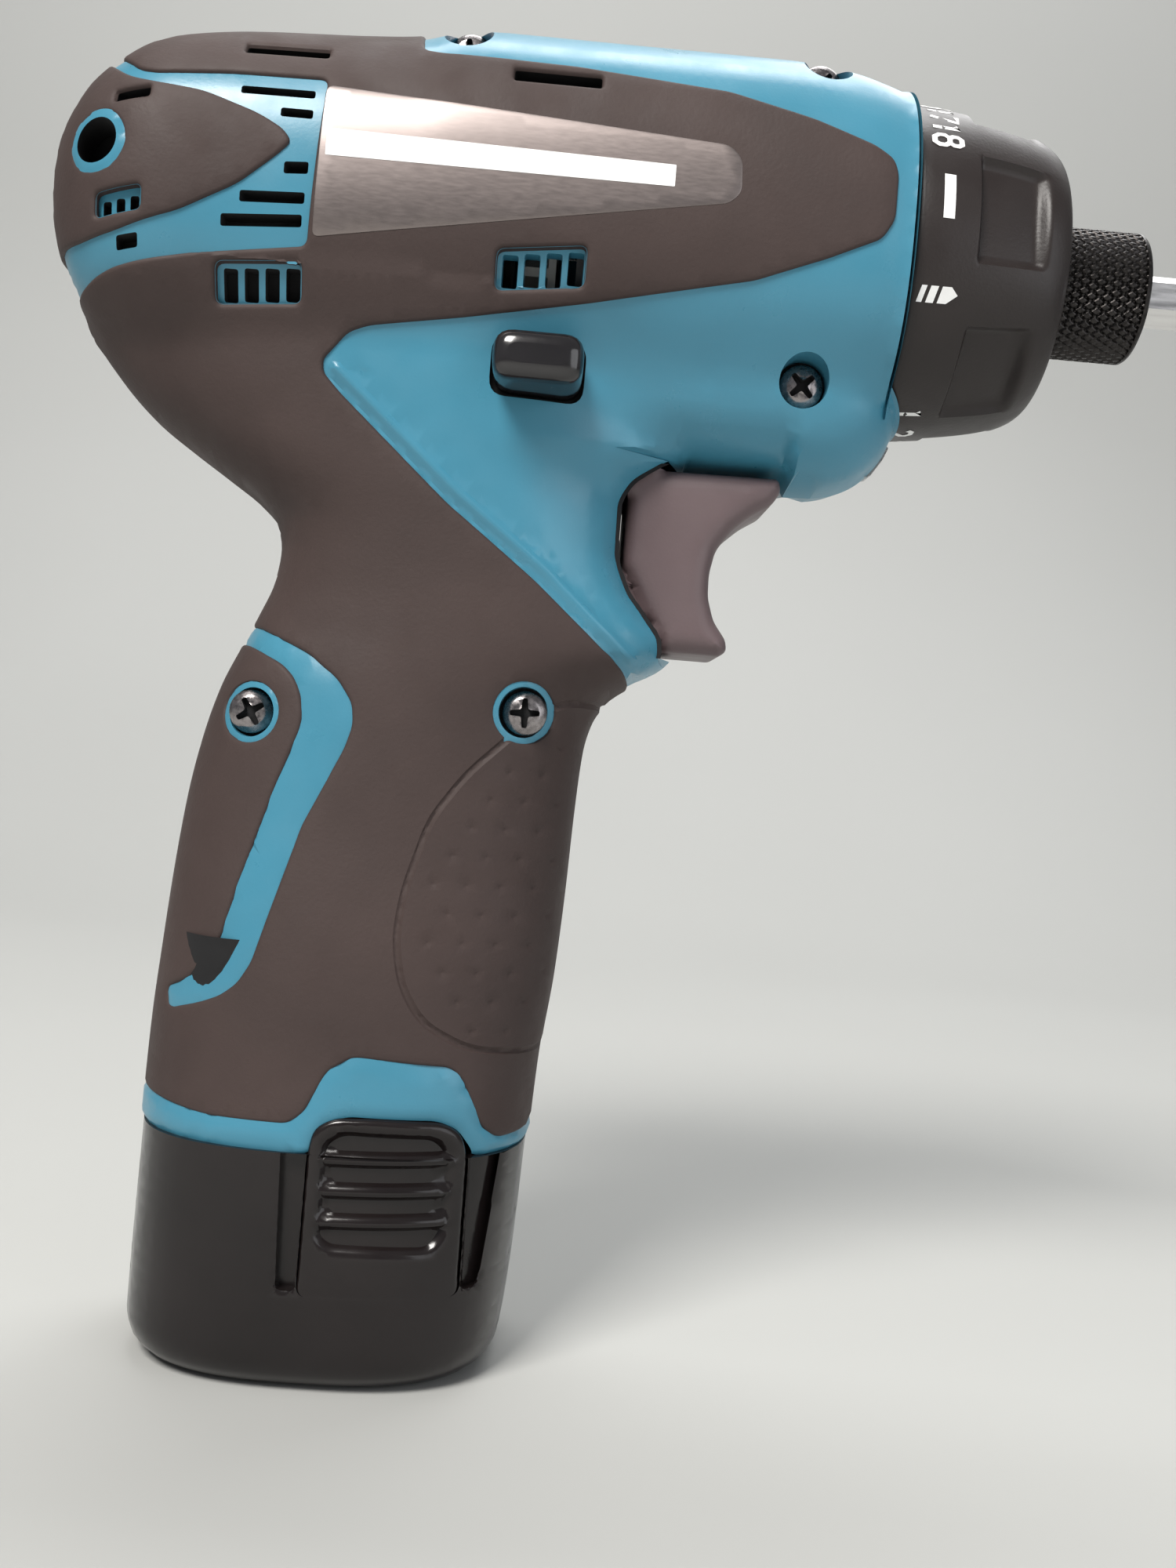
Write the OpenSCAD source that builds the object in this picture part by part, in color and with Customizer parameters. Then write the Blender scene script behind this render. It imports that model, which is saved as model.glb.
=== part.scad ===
// Pistol-grip cordless drill driver with a quick-change hex chuck, a clutch
// ring, a two-speed planetary gear train and a battery that slides into the grip.
// Origin: middle of the battery's base. +X points to the nose, +Z up, and the
// right-hand side of the tool is -Y. Outlines below are drawn in the tool's own
// plane: x from the back of the housing, z from the spindle axis.

/* [Overall] */
// Height of the spindle axis above the battery's base
spindle_height = 154; // [152:0.5:156]
// Distance from the back of the housing to the middle of the battery's base
base_x = 48; // [44:1:52]

/* [Housing] */
// Half the width of the motor barrel
barrel_half_w = 24.5; // [24:0.1:26]
// Thickness of the housing shells
wall = 2.4; // [1.8:0.1:2.6]
// Thickness of the moulded-on elastomer
cover_t = 1; // [0.6:0.1:1.2]

/* [Motor] */
// Outer radius of the motor can
motor_r = 17.5; // [16:0.1:17.6]
// Radius of the motor shaft
shaft_r = 1.6; // [1.2:0.1:2]
// Number of blades on the cooling fan
fan_blades = 9; // [5:1:13]

/* [Gears] */
// Gear module
gear_module = 0.8; // [0.75:0.01:0.82]
// Teeth on each sun gear
sun_teeth = 12; // [12]
// Teeth on each planet gear
planet_teeth = 12; // [12]
// Gap left between meshing teeth, split over both flanks
backlash = 0.14; // [0.1:0.01:0.2]

/* [Clutch and chuck] */
// Radius of the torque ring at its rear edge
torque_ring_r = 22.5; // [21:0.1:23]
// Radius of the chuck sleeve
sleeve_r = 8.9; // [8.5:0.1:9.2]
// Size of the hex bit across its flats
hex_af = 6.35; // [6.35]

/* [Controls] */
// Travel of the trigger
trigger_travel = 6.5; // [4:0.5:6.5]
// Travel of the direction lever from side to side
lever_travel = 4; // [2:0.5:4]

/* [Battery] */
// Radius of a battery cell
cell_r = 9; // [8.5:0.1:9]
// Length of a battery cell
cell_len = 50; // [45:1:50]

/* [Hidden] */
$fn = 48;
eps = 0.02;
front_x = 115;          // front face of the housing
seam = 0;               // the two halves meet on the mid-plane
planet_count = 3;
ring_teeth = sun_teeth + 2 * planet_teeth;
centre_dist = gear_module * (sun_teeth + planet_teeth) / 2;
gear_fit = 0.4;         // play along the spindle between neighbouring parts
ring_gear_r = 17.4;     // outside radius of the three ring gears
case_bore_r = 17.5;
case_r = 19.8;
planet_len = 5;
pin_r = 1.25;
planet_bore_r = 1.3;
carrier_r = 12.8;
stage_x = [76, 84.6, 93.2];        // rear face of each stage's planets
ring_x = [75.6, 85.9, 92.9];       // rear face of each ring gear
ring_len = [6, 6.6, 6.6];
stem_centres = [[37.5, -9.15], [37.5, 9.15], [53.4, 0]];
cell_z0 = -150.5;
cell_floor = -151.6;    // floor of the space for the cells
stem_r = 9.9;
stem_top = -98.4;
stem_play = 0.35;      // play of the battery's stem in the grip
deck_z = -123.2;        // where the battery meets the grip
spindle_r = 5.6;
spindle_end = 150.6;
hex_fit = 0.12;         // play across the flats of the bit in its socket
bit_end = 192;
bit_start = 131;
screw_places = [[56.3, 22, 6.5], [103.5, 22.3, 6.5], [103.3, -19.9, 13.2],
                [34.9, -68.2, 12.2], [70.6, -65.6, 14.6]];   // x, z, depth of the head
head_r = 2.9;
head_t = 2;
screw_r = 1.5;
boss_r = 3;
trigger_half_w = 8.8;
trigger_back = 82;      // rearmost point of the trigger at rest
tip_half_w = 13;        // teal lip under the trigger
pin_ring_r = 15.8;      // the clutch pins stand on this radius
ball_r = 1.25;
ball_ring_r = 5;
ball_x = 140.4;
run = 0.02;             // radial running clearance of the motor shaft

// Side outline of the housing, anticlockwise from the back of the grip's foot
side_outline = [
    [22.8, deck_z], [23, -110], [23.7, -100], [24.4, -90], [25.3, -80], [26.7, -72],
    [28.6, -65], [31, -59.5], [33.3, -55], [35, -50], [35.6, -45.5], [35, -42],
    [32.5, -39], [28, -36], [22, -32.8], [17, -29.2], [11.5, -24], [6.4, -18],
    [3.6, -12.8], [2.3, -8], [1.3, -1], [1.2, 4.6], [2.6, 10.5], [6.2, 15.8],
    [9.5, 18.9], [13, 20.8], [18, 21.8], [28, 22.6], [50, 23.6], [56, 26.1],
    [108, 26.1], [112, 25.4], [front_x, 23.8], [front_x, -22.9], [119.2, -22.9],
    [119.4, -24.6], [117.8, -27.6], [114.6, -29.8], [110, -30.5], [104, -30],
    [90, -29.4], [85, -30], [81.8, -32.6], [80.4, -36.5], [80.3, -41], [81.6, -46],
    [84.4, -50.6], [89, -55.4], [88.4, -57.6], [84, -60.4], [80.8, -63.4], [79.2, -67.5],
    [78.4, -78], [78, -90], [77.4, -101], [76.2, -112], [75.4, deck_z]];
// Half widths of the grip seen from the front, from its foot upwards
grip_half = [[23.2, -125], [22.5, -112], [21.7, -98], [19.8, -80], [18.9, -65],
             [18.6, -50], [19, -38], [20, -26], [20.5, -14]];
// Side outline of the battery case, and its half width seen from the front
battery_side = [
    [23.4, deck_z], [23, -148.8], [23.3, -151], [24.2, -152.7], [25.5, -153.7], [27, -spindle_height],
    [69.2, -spindle_height], [71, -153.6], [72.6, -152.4], [73.5, -150.4], [74, -147], [75.4, deck_z]];
battery_half = [
    [23, deck_z], [22.8, -148.4], [22.3, -150.8], [20.8, -152.8], [18.8, -153.8], [17.2, -spindle_height]];
// Area of each side that is covered by the elastomer
cover_outline = [
    [-5, -11.5], [8.7, -14], [14.7, -13], [38.9, -10.2], [39.8, 11], [16.3, 10.4],
    [8, 17.5], [8, 30], [52, 30], [52, 17], [71, 16.6], [90.2, 15], [101.2, 12],
    [112, 7.6], [112.1, -1.7], [104, -6], [95.1, -9.5], [75, -13.6], [45, -19],
    [41.1, -23.8], [58.6, -39.7], [70.9, -48.2], [84.6, -60], [100, -60],
    [100, -121.6], [71.5, -121.6], [66.9, -114], [64.9, -111.4], [52.3, -110.8],
    [49.3, -113.3], [45.3, -119.8], [34.4, -119.8], [10, -119.3]];
oval_outline = [[-5, -8], [8.7, -11.4], [14.7, -10.2], [23, -7.5], [30.1, -3.6],
                [36.6, 2.3], [32.1, 5.4], [24.9, 8.2], [16.3, 9.2], [8, 14], [-5, 14]];
label_outline = [[39.9, 9.9], [92.2, 6.4], [92.5, 0], [39.9, -9]];
// Half outline of the trigger seen from the side
trigger_outline = [
    [83.6, -31], [102.6, -30.6], [99.8, -33.4], [97, -37], [95, -41], [94.4, -46],
    [95.4, -50.2], [97.2, -54.2], [96.2, -55.4], [91, -55.2], [84.6, -48.6],
    [83, -45], [82.2, -40], [82.2, -36]];

// Closed outline from one side's half widths
function both_sides(half) = concat(half, [for (i = [len(half) - 1 : -1 : 0]) [-half[i][0], half[i][1]]]);
function sgn(v) = v < 0 ? -1 : 1;
// Rounded rectangle between an ellipse (n = 2) and a box
function squircle(a, b, n, steps) = [
    for (i = [0 : steps - 1])
        let (t = (i + 0.5) * 360 / steps)
        [a * sgn(cos(t)) * pow(abs(cos(t)), 2 / n), b * sgn(sin(t)) * pow(abs(sin(t)), 2 / n)]];
// Involute function, in degrees
function inv(a) = tan(a) * 180 / PI - a;
// Half the angle of a tooth at radius r
function tooth_half(teeth, r, play) =
    let (pitch_r = gear_module * teeth / 2, pressure = 25,
         base_r = pitch_r * cos(pressure), at = acos(min(1, base_r / max(r, base_r))))
    90 / teeth + inv(pressure) - inv(at) - play / pitch_r * 90 / PI;
function gear_points(teeth, tip, root, play) =
    let (pitch_r = gear_module * teeth / 2,
         radii = [pitch_r - root, pitch_r - root / 3, pitch_r + tip / 3, pitch_r + tip])
    [for (t = [0 : teeth - 1]) each concat(
        [for (i = [0 : 3]) polar(radii[i], t * 360 / teeth - tooth_half(teeth, radii[i], play))],
        [for (i = [3 : -1 : 0]) polar(radii[i], t * 360 / teeth + tooth_half(teeth, radii[i], play))])];
function polar(r, a) = [r * cos(a), r * sin(a)];

// ---- placing helpers ----
module at_tool() translate([-base_x, 0, spindle_height]) children();
module along_x(x0, x1) translate([x0, 0, 0]) rotate([0, 90, 0]) linear_extrude(x1 - x0) children();
module rod(x0, x1, r) along_x(x0, x1) circle(r);
module tube(x0, x1, outer, inner) {
    difference() {
        rod(x0, x1, outer);
        rod(x0 - 1, x1 + 1, inner);
    }
}
module turned(points) rotate([0, 90, 0]) rotate_extrude($fn = 64) polygon(points);
module side_prism(y0, y1) rotate([90, 0, 0]) translate([0, 0, -y1]) linear_extrude(y1 - y0) children();
module front_prism(x0, x1) translate([x0, 0, 0]) rotate([90, 0, 90]) linear_extrude(x1 - x0) children();
module cross_rod(x, z, y0, y1, r) translate([x, y0, z]) rotate([-90, 0, 0]) cylinder(r = r, h = y1 - y0);
module around_x(count, start = 0)
    for (i = [0 : count - 1]) rotate([start + i * 360 / count, 0, 0]) children();
module block(low, high) translate(low) cube(high - low);
module rounded(low, high, r) {
    translate([0, 0, low[2]]) linear_extrude(high[2] - low[2])
        translate([(low[0] + high[0]) / 2, (low[1] + high[1]) / 2])
            offset(r = r) square([high[0] - low[0] - 2 * r, high[1] - low[1] - 2 * r], center = true);
}

// ---- outer form ----
module side_slice(inset) side_prism(-40, 40) offset(delta = -inset) polygon(side_outline);
module barrel_form(inset) {
    intersection() {
        side_slice(inset);
        front_prism(0, front_x - inset) translate([0, 0.6])
            offset(delta = -inset) polygon(squircle(barrel_half_w, 26.4, 2.35, 44));
        translate([0, 0, -40]) linear_extrude(80) offset(delta = -inset)
            polygon(concat([[front_x + 20, -barrel_half_w - 1], [front_x + 20, barrel_half_w + 1]],
                           [for (a = [90 : 9 : 270]) [17 + 16.4 * cos(a), (barrel_half_w + 1) * sin(a)]]));
    }
}
module handle_form(inset) {
    intersection() {
        side_slice(inset);
        front_prism(0, 130) offset(delta = -inset) polygon(both_sides(grip_half));
        translate([52.6, 0, -90]) rotate([0, 6, 0]) translate([1.5, 0, -60]) linear_extrude(140)
            offset(delta = -inset) offset(r = 17, $fn = 40) square([22, 13], center = true);
    }
}
module nose_form(inset) {
    intersection() {
        side_slice(inset);
        front_prism(0, 130) offset(delta = -inset) offset(r = 9, $fn = 36)
            translate([-8.5, -21.7]) square([17, 20]);
        translate([0, 0, -35]) linear_extrude(30) offset(delta = -inset)
            offset(r = 13, $fn = 40) translate([45, -4.5]) square([61.4, 9]);
    }
}
module tip_form(inset) {
    intersection() {
        side_slice(inset);
        block([76, -tip_half_w + inset, -62], [90 - inset, tip_half_w - inset, -30]);
    }
}
module body_form(inset) {
    barrel_form(inset);
    handle_form(inset);
    nose_form(inset);
    tip_form(inset);
}
module battery_form(inset) {
    intersection() {
        side_prism(-30, 30) offset(delta = -inset) polygon(battery_side);
        front_prism(10, 90) offset(delta = -inset) polygon(both_sides(battery_half));
        translate([49.2, 0, -160]) linear_extrude(40) offset(delta = -inset)
            polygon(squircle(26.2, 23, 2.7, 44));
    }
}

// ---- housing ----
module cover_area() polygon(cover_outline);
module vent_slots() {
    for (i = [0 : 3]) {
        block([28.6 + i * 2.6, -30, -16.9 + i * 0.2], [30.2 + i * 2.6, 30, -12.9 + i * 0.2]);
        block([63.4 + i * 2.7, -30, -12.4 + i * 0.3], [65 + i * 2.7, 30, -8.4 + i * 0.3]);
    }
    block([29, -30, 14.6], [39.4, 30, 16]);
    block([63, -30, 13.6], [74, 30, 15]);
    for (slot = [[29.5, 8.2], [34, 5.4], [31.5, -3.9], [28.5, -6.4]])
        block([slot[0], -30, slot[1]], [38, 30, slot[1] + 1.2]);
}
module housing_form() {
    difference() {
        body_form(0);
        difference() {
            body_form(wall);
            // cradles for the motor and the gear case
            for (x = [26, 54]) difference() {
                block([x, -30, -23], [x + 2, 30, 26]);
                rod(x - 1, x + 3, motor_r + 0.1);
            }
            difference() {
                block([84, -30, -22], [86.4, 30, 4]);
                rod(83, 88, case_r + 0.1);
            }
        }
        // open foot for the battery, mouth for the gear case, slot for the trigger
        block([26, -20.6, -130], [72.6, 20.6, -118]);
        rod(100, 120, 16.4);
        translate([0, 0, deck_z - 1]) linear_extrude(stem_top - deck_z + 2)
            stem_2d(stem_r + stem_play);
        block([trigger_back - trigger_travel - 0.3, -trigger_half_w - 0.4, -56.4],
              [106, trigger_half_w + 0.4, -28]);
        // latch windows, speed lever slot, lever slots, rear air hole, lens hole
        block([47.6, -30, -124], [68.4, 30, -118.6]);
        block([78.5, -6.4, 15], [97.5, 6.4, 30]);
        block([62.6, -30, -25.4], [74.8, 30, -18.2]);
        cross_rod(11.8, 1, -30, 30, 2.9);
        translate([0, 0, -26.2]) rod(110, 121, 2.6);
        vent_slots();
    }
}
module screw_bosses() {
    for (p = screw_places) intersection() {
        body_form(0.4);
        cross_rod(p[0], p[1], -p[2] - head_t - 0.4, 16, boss_r);
    }
}
module screw_holes() {
    for (p = screw_places) {
        cross_rod(p[0], p[1], -30, -p[2], head_r + 0.3);
        cross_rod(p[0], p[1], -p[2] - 1, 8, screw_r + 0.05);
    }
}
module shell_half(y0, y1) {
    difference() {
        intersection() {
            union() {
                housing_form();
                screw_bosses();
            }
            block([-5, y0, -130], [125, y1, 40]);
        }
        screw_holes();
        difference() {
            side_prism(-40, 40) cover_area();
            body_form(cover_t);
        }
        difference() {
            side_prism(-40, 40) polygon(oval_outline);
            body_form(cover_t);
        }
    }
}
module housing_right() color("teal") at_tool() shell_half(-40, seam);
module housing_left() color("teal") at_tool() shell_half(seam, 40);

module cover_half(y0, y1) {
    difference() {
        intersection() {
            body_form(0);
            block([-5, y0, -130], [125, y1, 40]);
            union() {
                side_prism(-40, 40) cover_area();
                side_prism(-40, 40) polygon(oval_outline);
            }
        }
        body_form(cover_t);
        screw_holes();
        vent_slots();
        cross_rod(11.8, 1, -30, 30, 2.9);
    }
}
module cover_right() color("#4a3f3d") at_tool() cover_half(-40, seam);
module cover_left() color("#4a3f3d") at_tool() cover_half(seam, 40);

module label_plates() {
    color("#8a7f7a") at_tool() intersection() {
        difference() {
            barrel_form(-0.25);
            barrel_form(0);
        }
        side_prism(-40, 40) offset(r = 1) offset(delta = -1) polygon(label_outline);
    }
}

module housing_screws() {
    color("#3a3a3c") at_tool() for (p = screw_places) {
        difference() {
            union() {
                cross_rod(p[0], p[1], -p[2] - head_t, -p[2], head_r);
                cross_rod(p[0], p[1], -p[2], 7, screw_r);
            }
            translate([p[0], -p[2] - head_t + 0.6, p[1]]) for (a = [0, 90])
                rotate([0, a, 0]) cube([3.2, 2.4, 0.7], center = true);
        }
    }
}

// ---- motor ----
module motor_can() {
    color("silver") at_tool() difference() {
        union() {
            rod(21, 61.5, motor_r);
            rod(61, 64.8, 6.8);
        }
        rod(20, 58.6, motor_r - 1.5);
        rod(58, 64, 5);
        rod(63, 66, 3);
    }
}
module motor_magnets() {
    color("#303030") at_tool() for (s = [-1, 1]) intersection() {
        tube(27, 53, motor_r - 1.55, 12.8);
        scale([1, s, 1]) block([20, 6, -30], [60, 30, 30]);
    }
}
module motor_end_bell() {
    color("#d8d8d0") at_tool() difference() {
        union() {
            rod(15, 20.9, motor_r);
            rod(20.9, 23, motor_r - 1.6);
            rod(9.5, 15, 7.8);
        }
        rod(8, 14.5, 5);
        rod(8, 24, 4.9);
        rod(16.5, 24, 12);
    }
}
module motor_bearings() {
    color("silver") at_tool() {
        tube(10, 14.5, 5, shaft_r + run);
        tube(60, 64, 5, shaft_r + run);
    }
}
module carbon_brushes() {
    color("#2b2b2b") at_tool() for (s = [-1, 1]) difference() {
        block([17.4, s * 7.8 - 3.3, -2], [21.4, s * 7.8 + 3.3, 2]);
        rod(16, 23, 4.7);
    }
}
module motor_shaft() color("silver") at_tool() rod(9.8, 81.1, shaft_r);
module rotor_core() {
    color("#6d7075") at_tool() difference() {
        rod(29, 52, 12.1);
        rod(28, 53, shaft_r);
        around_x(5, 18) block([28, -1, 9.6], [53, 1, 13]);
        around_x(5, 18) block([28, -3.1, 6], [53, 3.1, 9.6]);
    }
}
module rotor_windings() {
    color("#a8562a") at_tool() {
        around_x(5, 18) block([26.4, -2.9, 6.3], [54.6, 2.9, 9.3]);
        tube(24.2, 28.6, 10.8, 4);
        tube(52.4, 56.8, 10.8, 4);
    }
}
module commutator() {
    color("#b8733a") at_tool() difference() {
        tube(16, 23.8, 4.6, shaft_r);
        around_x(5) block([15, -0.3, 4.1], [23, 0.3, 5]);
    }
}
module cooling_fan() {
    color("#e8e6de") at_tool() {
        tube(66, 71, 4, shaft_r);
        tube(70, 71, 16, 3.9);
        around_x(fan_blades) block([66, -0.6, 3.8], [70.2, 0.6, 15.8]);
    }
}
module gear_2d(teeth) polygon(gear_points(teeth, 0.8 * gear_module, 1.05 * gear_module, backlash / 2));
module ring_teeth_2d() {
    rotate(180 / ring_teeth)
        polygon(gear_points(ring_teeth, 1.05 * gear_module, 0.8 * gear_module, -backlash / 2));
}
module motor_pinion() {
    color("silver") at_tool() difference() {
        along_x(76, 81) gear_2d(sun_teeth);
        rod(75, 82, shaft_r);
    }
}

// ---- gear train ----
module planet_gear(stage, index) {
    color("#c8c8c8") at_tool() rotate([index * 360 / planet_count, 0, 0])
        translate([stage_x[stage], 0, 0]) rotate([0, 90, 0]) translate([centre_dist, 0, 0])
            difference() {
                rotate(180 / planet_teeth) linear_extrude(planet_len) gear_2d(planet_teeth);
                translate([0, 0, -1]) cylinder(r = planet_bore_r, h = planet_len + 2);
            }
}
module carrier_form(stage, plate_t) {
    plate_x = stage_x[stage] + planet_len + gear_fit;
    difference() {
        rod(plate_x, plate_x + plate_t, carrier_r);
        around_x(planet_count, 60) translate([0, 0, centre_dist]) rod(plate_x - 1, plate_x + 5, 2.4);
    }
    around_x(planet_count) translate([0, 0, -centre_dist]) rod(stage_x[stage] - 0.1, plate_x + eps, pin_r);
}
module carrier(stage) {
    color("silver") at_tool() {
        carrier_form(stage, 1.8);
        along_x(stage_x[stage] + planet_len + gear_fit + 1.8 - eps, stage_x[stage + 1] + planet_len)
            gear_2d(sun_teeth);
    }
}
module carrier_1() carrier(0);
module carrier_2() carrier(1);
module ring_gear(stage) {
    color("#9a9da0") at_tool() difference() {
        rod(ring_x[stage], ring_x[stage] + ring_len[stage], ring_gear_r);
        along_x(ring_x[stage] - 1, ring_x[stage] + ring_len[stage] + 1) ring_teeth_2d();
        if (stage == 1) difference() {
            rod(ring_x[1] + 2.4, ring_x[1] + 4.2, ring_gear_r + 1);
            rod(ring_x[1] + 2, ring_x[1] + 5, ring_gear_r - 1.1);
        }
    }
}
module ring_gear_1() ring_gear(0);
module ring_gear_2() ring_gear(1);
module ring_gear_3() ring_gear(2);
module gear_case_plate() color("#55585c") at_tool() tube(73.6, 75.5, case_bore_r, 5.4);
module gear_case() {
    color("#55585c") at_tool() difference() {
        union() {
            rod(73.6, 103, case_r);
            rod(102, 114.6, 14.4);
            rod(114.6, 130, 11.4);
        }
        rod(70, 99.8, case_bore_r);
        rod(99, 131, 8.6);
        rod(98, 103.2, 13.4);
        // pockets for the clutch pins, the shift wire and the lower front screw
        around_x(6, 30) translate([0, 0, pin_ring_r]) rod(98, 104, 1.25);
        block([83.4, -12, 10], [92.6, 12, 25]);
        cross_rod(103.3, -19.9, -30, 30, 3.5);
        cross_rod(103.5, 22.3, -30, 30, 3.5);
    }
}
module output_spindle() {
    color("silver") at_tool() {
        carrier_form(2, 2.2);
        difference() {
            rod(stage_x[2] + planet_len + gear_fit + 2.2 - eps, spindle_end, spindle_r);
            along_x(130.6, spindle_end + 1) circle(r = (hex_af + 2 * hex_fit) / 2 / cos(30), $fn = 6);
            around_x(2, 90) translate([ball_x, 0, 2]) cylinder(r = ball_r + 0.05, h = 5);
            rotate([0, 90, 0]) rotate_extrude()
                translate([spindle_r, 148.8]) square([0.8, 0.7], center = true);
        }
    }
}
module spindle_bearing() color("#b08d57") at_tool() tube(118, 129.6, 8.5, spindle_r + 0.05);
module retaining_ring() {
    color("#808080") at_tool() tube(148.5, 149.1, 6.6, spindle_r - 0.35);
}
module sleeve_spring() {
    color("#a0a0a0") at_tool() for (i = [0 : 3])
        tube(142.4 + i * 1.4, 143.2 + i * 1.4, 6.7, spindle_r + 0.15);
}
module chuck_balls() {
    color("silver") at_tool() around_x(2, 90) translate([ball_x, 0, ball_ring_r]) sphere(r = ball_r, $fn = 32);
}
module chuck_sleeve() {
    color("#202022") at_tool() difference() {
        turned([[0, 137.2], [sleeve_r - 0.5, 137.2], [sleeve_r, 137.8], [sleeve_r, 149.6],
                [sleeve_r - 0.9, 150.9], [0, 150.9]]);
        rod(136, 152, 6.9);
    }
    color("#202022") at_tool() tube(137.2, 141.9, sleeve_r - 1, 6.3);
}
module driver_bit() {
    tip_len = 6;
    color("silver") at_tool() {
        difference() {
            along_x(bit_start, bit_end - tip_len) circle(r = hex_af / 2 / cos(30), $fn = 6);
            rotate([0, 90, 0]) rotate_extrude() translate([4.4, 140.4]) circle(r = 1.2);
            rotate([0, 90, 0]) rotate_extrude() translate([4.4, 176.4]) circle(r = 1.2);
        }
        difference() {
            turned([[0, bit_end - tip_len - eps], [2.9, bit_end - tip_len - eps],
                    [1.5, bit_end], [0, bit_end]]);
            around_x(4, 45) block([bit_end - 4, 0.7, 0.7], [bit_end + 1, 4, 4]);
        }
    }
}

// ---- clutch ----
module clutch_pins() {
    color("silver") at_tool() around_x(6, 30) translate([0, 0, pin_ring_r]) rod(99.6, 106, 1.25);
}
module clutch_washer() color("#9a9da0") at_tool() tube(115.05, 116, 18.6, 11.4);
module clutch_spring() {
    color("#777a80") at_tool() for (i = [0 : 3]) tube(116.1 + i * 1.9, 117.5 + i * 1.9, 15.2, 12.2);
}
module clutch_nut() color("#c9b27a") at_tool() tube(124.2, 128, 17.7, 11.5);
module torque_ring() {
    color("#262220") at_tool() difference() {
        turned([[19.2, 115.3], [torque_ring_r, 115.3], [torque_ring_r - 0.2, 119], [21.3, 126.4],
                [20.2, 133.4], [18.4, 135.8], [16.6, 136.8], [9.6, 136.8], [9.6, 134.6], [16, 134.4],
                [17.7, 132.4], [17.7, 120], [19.2, 118.6]]);
        // finger scallops between six ribs
        around_x(6, 21) translate([128.2, 0, 24.9]) rotate([0, 4, 0])
            block([-4.6, -7, -4.2], [5.4, 7, 0]);
    }
}

// ---- speed change ----
module shift_fork() {
    color("silver") at_tool() {
        intersection() {
            tube(88.5, 89.9, ring_gear_r + 1.6, ring_gear_r - 0.9);
            block([80, -11.6, 10.4], [95, 11.6, 30]);
        }
        block([88.5, -1.2, ring_gear_r], [89.9, 1.2, 22.4]);
    }
}
module speed_lever() {
    color("#202022") at_tool() difference() {
        union() {
            block([84, -5.9, 22.6], [96.8, 5.9, 24.4]);
            block([86.4, -5, 24.4], [94.4, 5, 26]);
        }
        block([88.4, -1.3, 20], [90, 1.3, 23.4]);
    }
}

// ---- controls ----
module trigger() {
    color("#57494a") at_tool() {
        side_prism(-trigger_half_w, trigger_half_w) offset(r = 1) offset(delta = -1) polygon(trigger_outline);
        block([79.9, -5, -41], [84.4, 5, -35]);
    }
}
module trigger_spring() {
    color("silver") at_tool() for (i = [0 : 4])
        translate([0, 0, -44.6]) tube(76.2 + i * 1.2, 76.8 + i * 1.2, 2.2, 1.5);
}
module switch_body() {
    color("#1e1e20") at_tool() difference() {
        rounded([50, -9, -50], [75.2, 9, -28], 1.5);
        block([70, -5.3, -41.3], [77, 5.3, -34.7]);
    }
}
module direction_lever() {
    tip_y = 26.5;
    color("#151517") at_tool() {
        for (y = [[-tip_y, -14], [14 - lever_travel, tip_y - lever_travel]])
            side_prism(y[0], y[1]) offset(r = 2) translate([65, -23]) square([7.6, 2.6]);
        block([64.4, -14.1, -24.4], [72.4, 14.1 - lever_travel, -19]);
    }
}
module led_lens() {
    color("white") at_tool() translate([0, 0, -26.2]) {
        rod(112, 118.4, 2.5);
    }
}
module led_board() {
    color("green") at_tool() block([108.4, -5, -28], [110, 5, -23.8]);
}
module lead_wires() {
    color("#a01818") at_tool() for (s = [-1, 1]) {
        translate([0, s * 5, 0]) {
            block([52, -0.7, -81], [53.4, 0.7, -50.1]);
            block([44, -0.7, -28 + eps], [45.4, 0.7, -19]);
            block([44, -0.7, -29.4], [49.9, 0.7, -28]);
        }
    }
}
module terminal_block() {
    color("#222226") at_tool() difference() {
        block([37, -9, -94.6], [56, 9, -81.1]);
        for (x = [40, 45.6, 51.2]) block([x, -6, -96], [x + 1.4, 6, -87]);
    }
}

// ---- battery ----
module stem_2d(grow) offset(r = grow, $fn = 48) polygon(stem_centres);
module latch_window(gap) {
    for (y = [[-30, -18.5], [18.5, 30]])
        block([48 - gap, y[0], -141.8 - gap], [68 + gap, y[1], -118]);
}
module battery_case() {
    color("#161618") at_tool() difference() {
        union() {
            battery_form(0);
            translate([0, 0, deck_z - eps]) linear_extrude(stem_top - deck_z + eps) stem_2d(stem_r);
        }
        intersection() {
            battery_form(2);
            block([0, -30, cell_floor], [90, 30, deck_z - 2]);
            translate([0, 0, cell_floor]) linear_extrude(30) stem_2d(stem_r + 1.4);
        }
        translate([0, 0, cell_floor]) linear_extrude(stem_top - 1.6 - cell_floor) stem_2d(cell_r + 0.1);
        latch_window(0.5);
        // slots that free the two latch tongues
        for (x = [45.4, 68.4]) for (s = [-1, 1])
            block([x, s * 22 - 2.2, -141.5], [x + 2.2, s * 22 + 2.2, -120]);
    }
}
module battery_cells() {
    color("#3f6fa8") at_tool() for (c = stem_centres)
        translate([c[0], c[1], cell_z0]) cylinder(r = cell_r, h = cell_len);
}
module battery_terminals() {
    color("#c9a24a") at_tool() for (x = [40.3, 45.9, 51.5])
        block([x, -5, stem_top], [x + 0.8, 5, stem_top + 7]);
}
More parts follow.
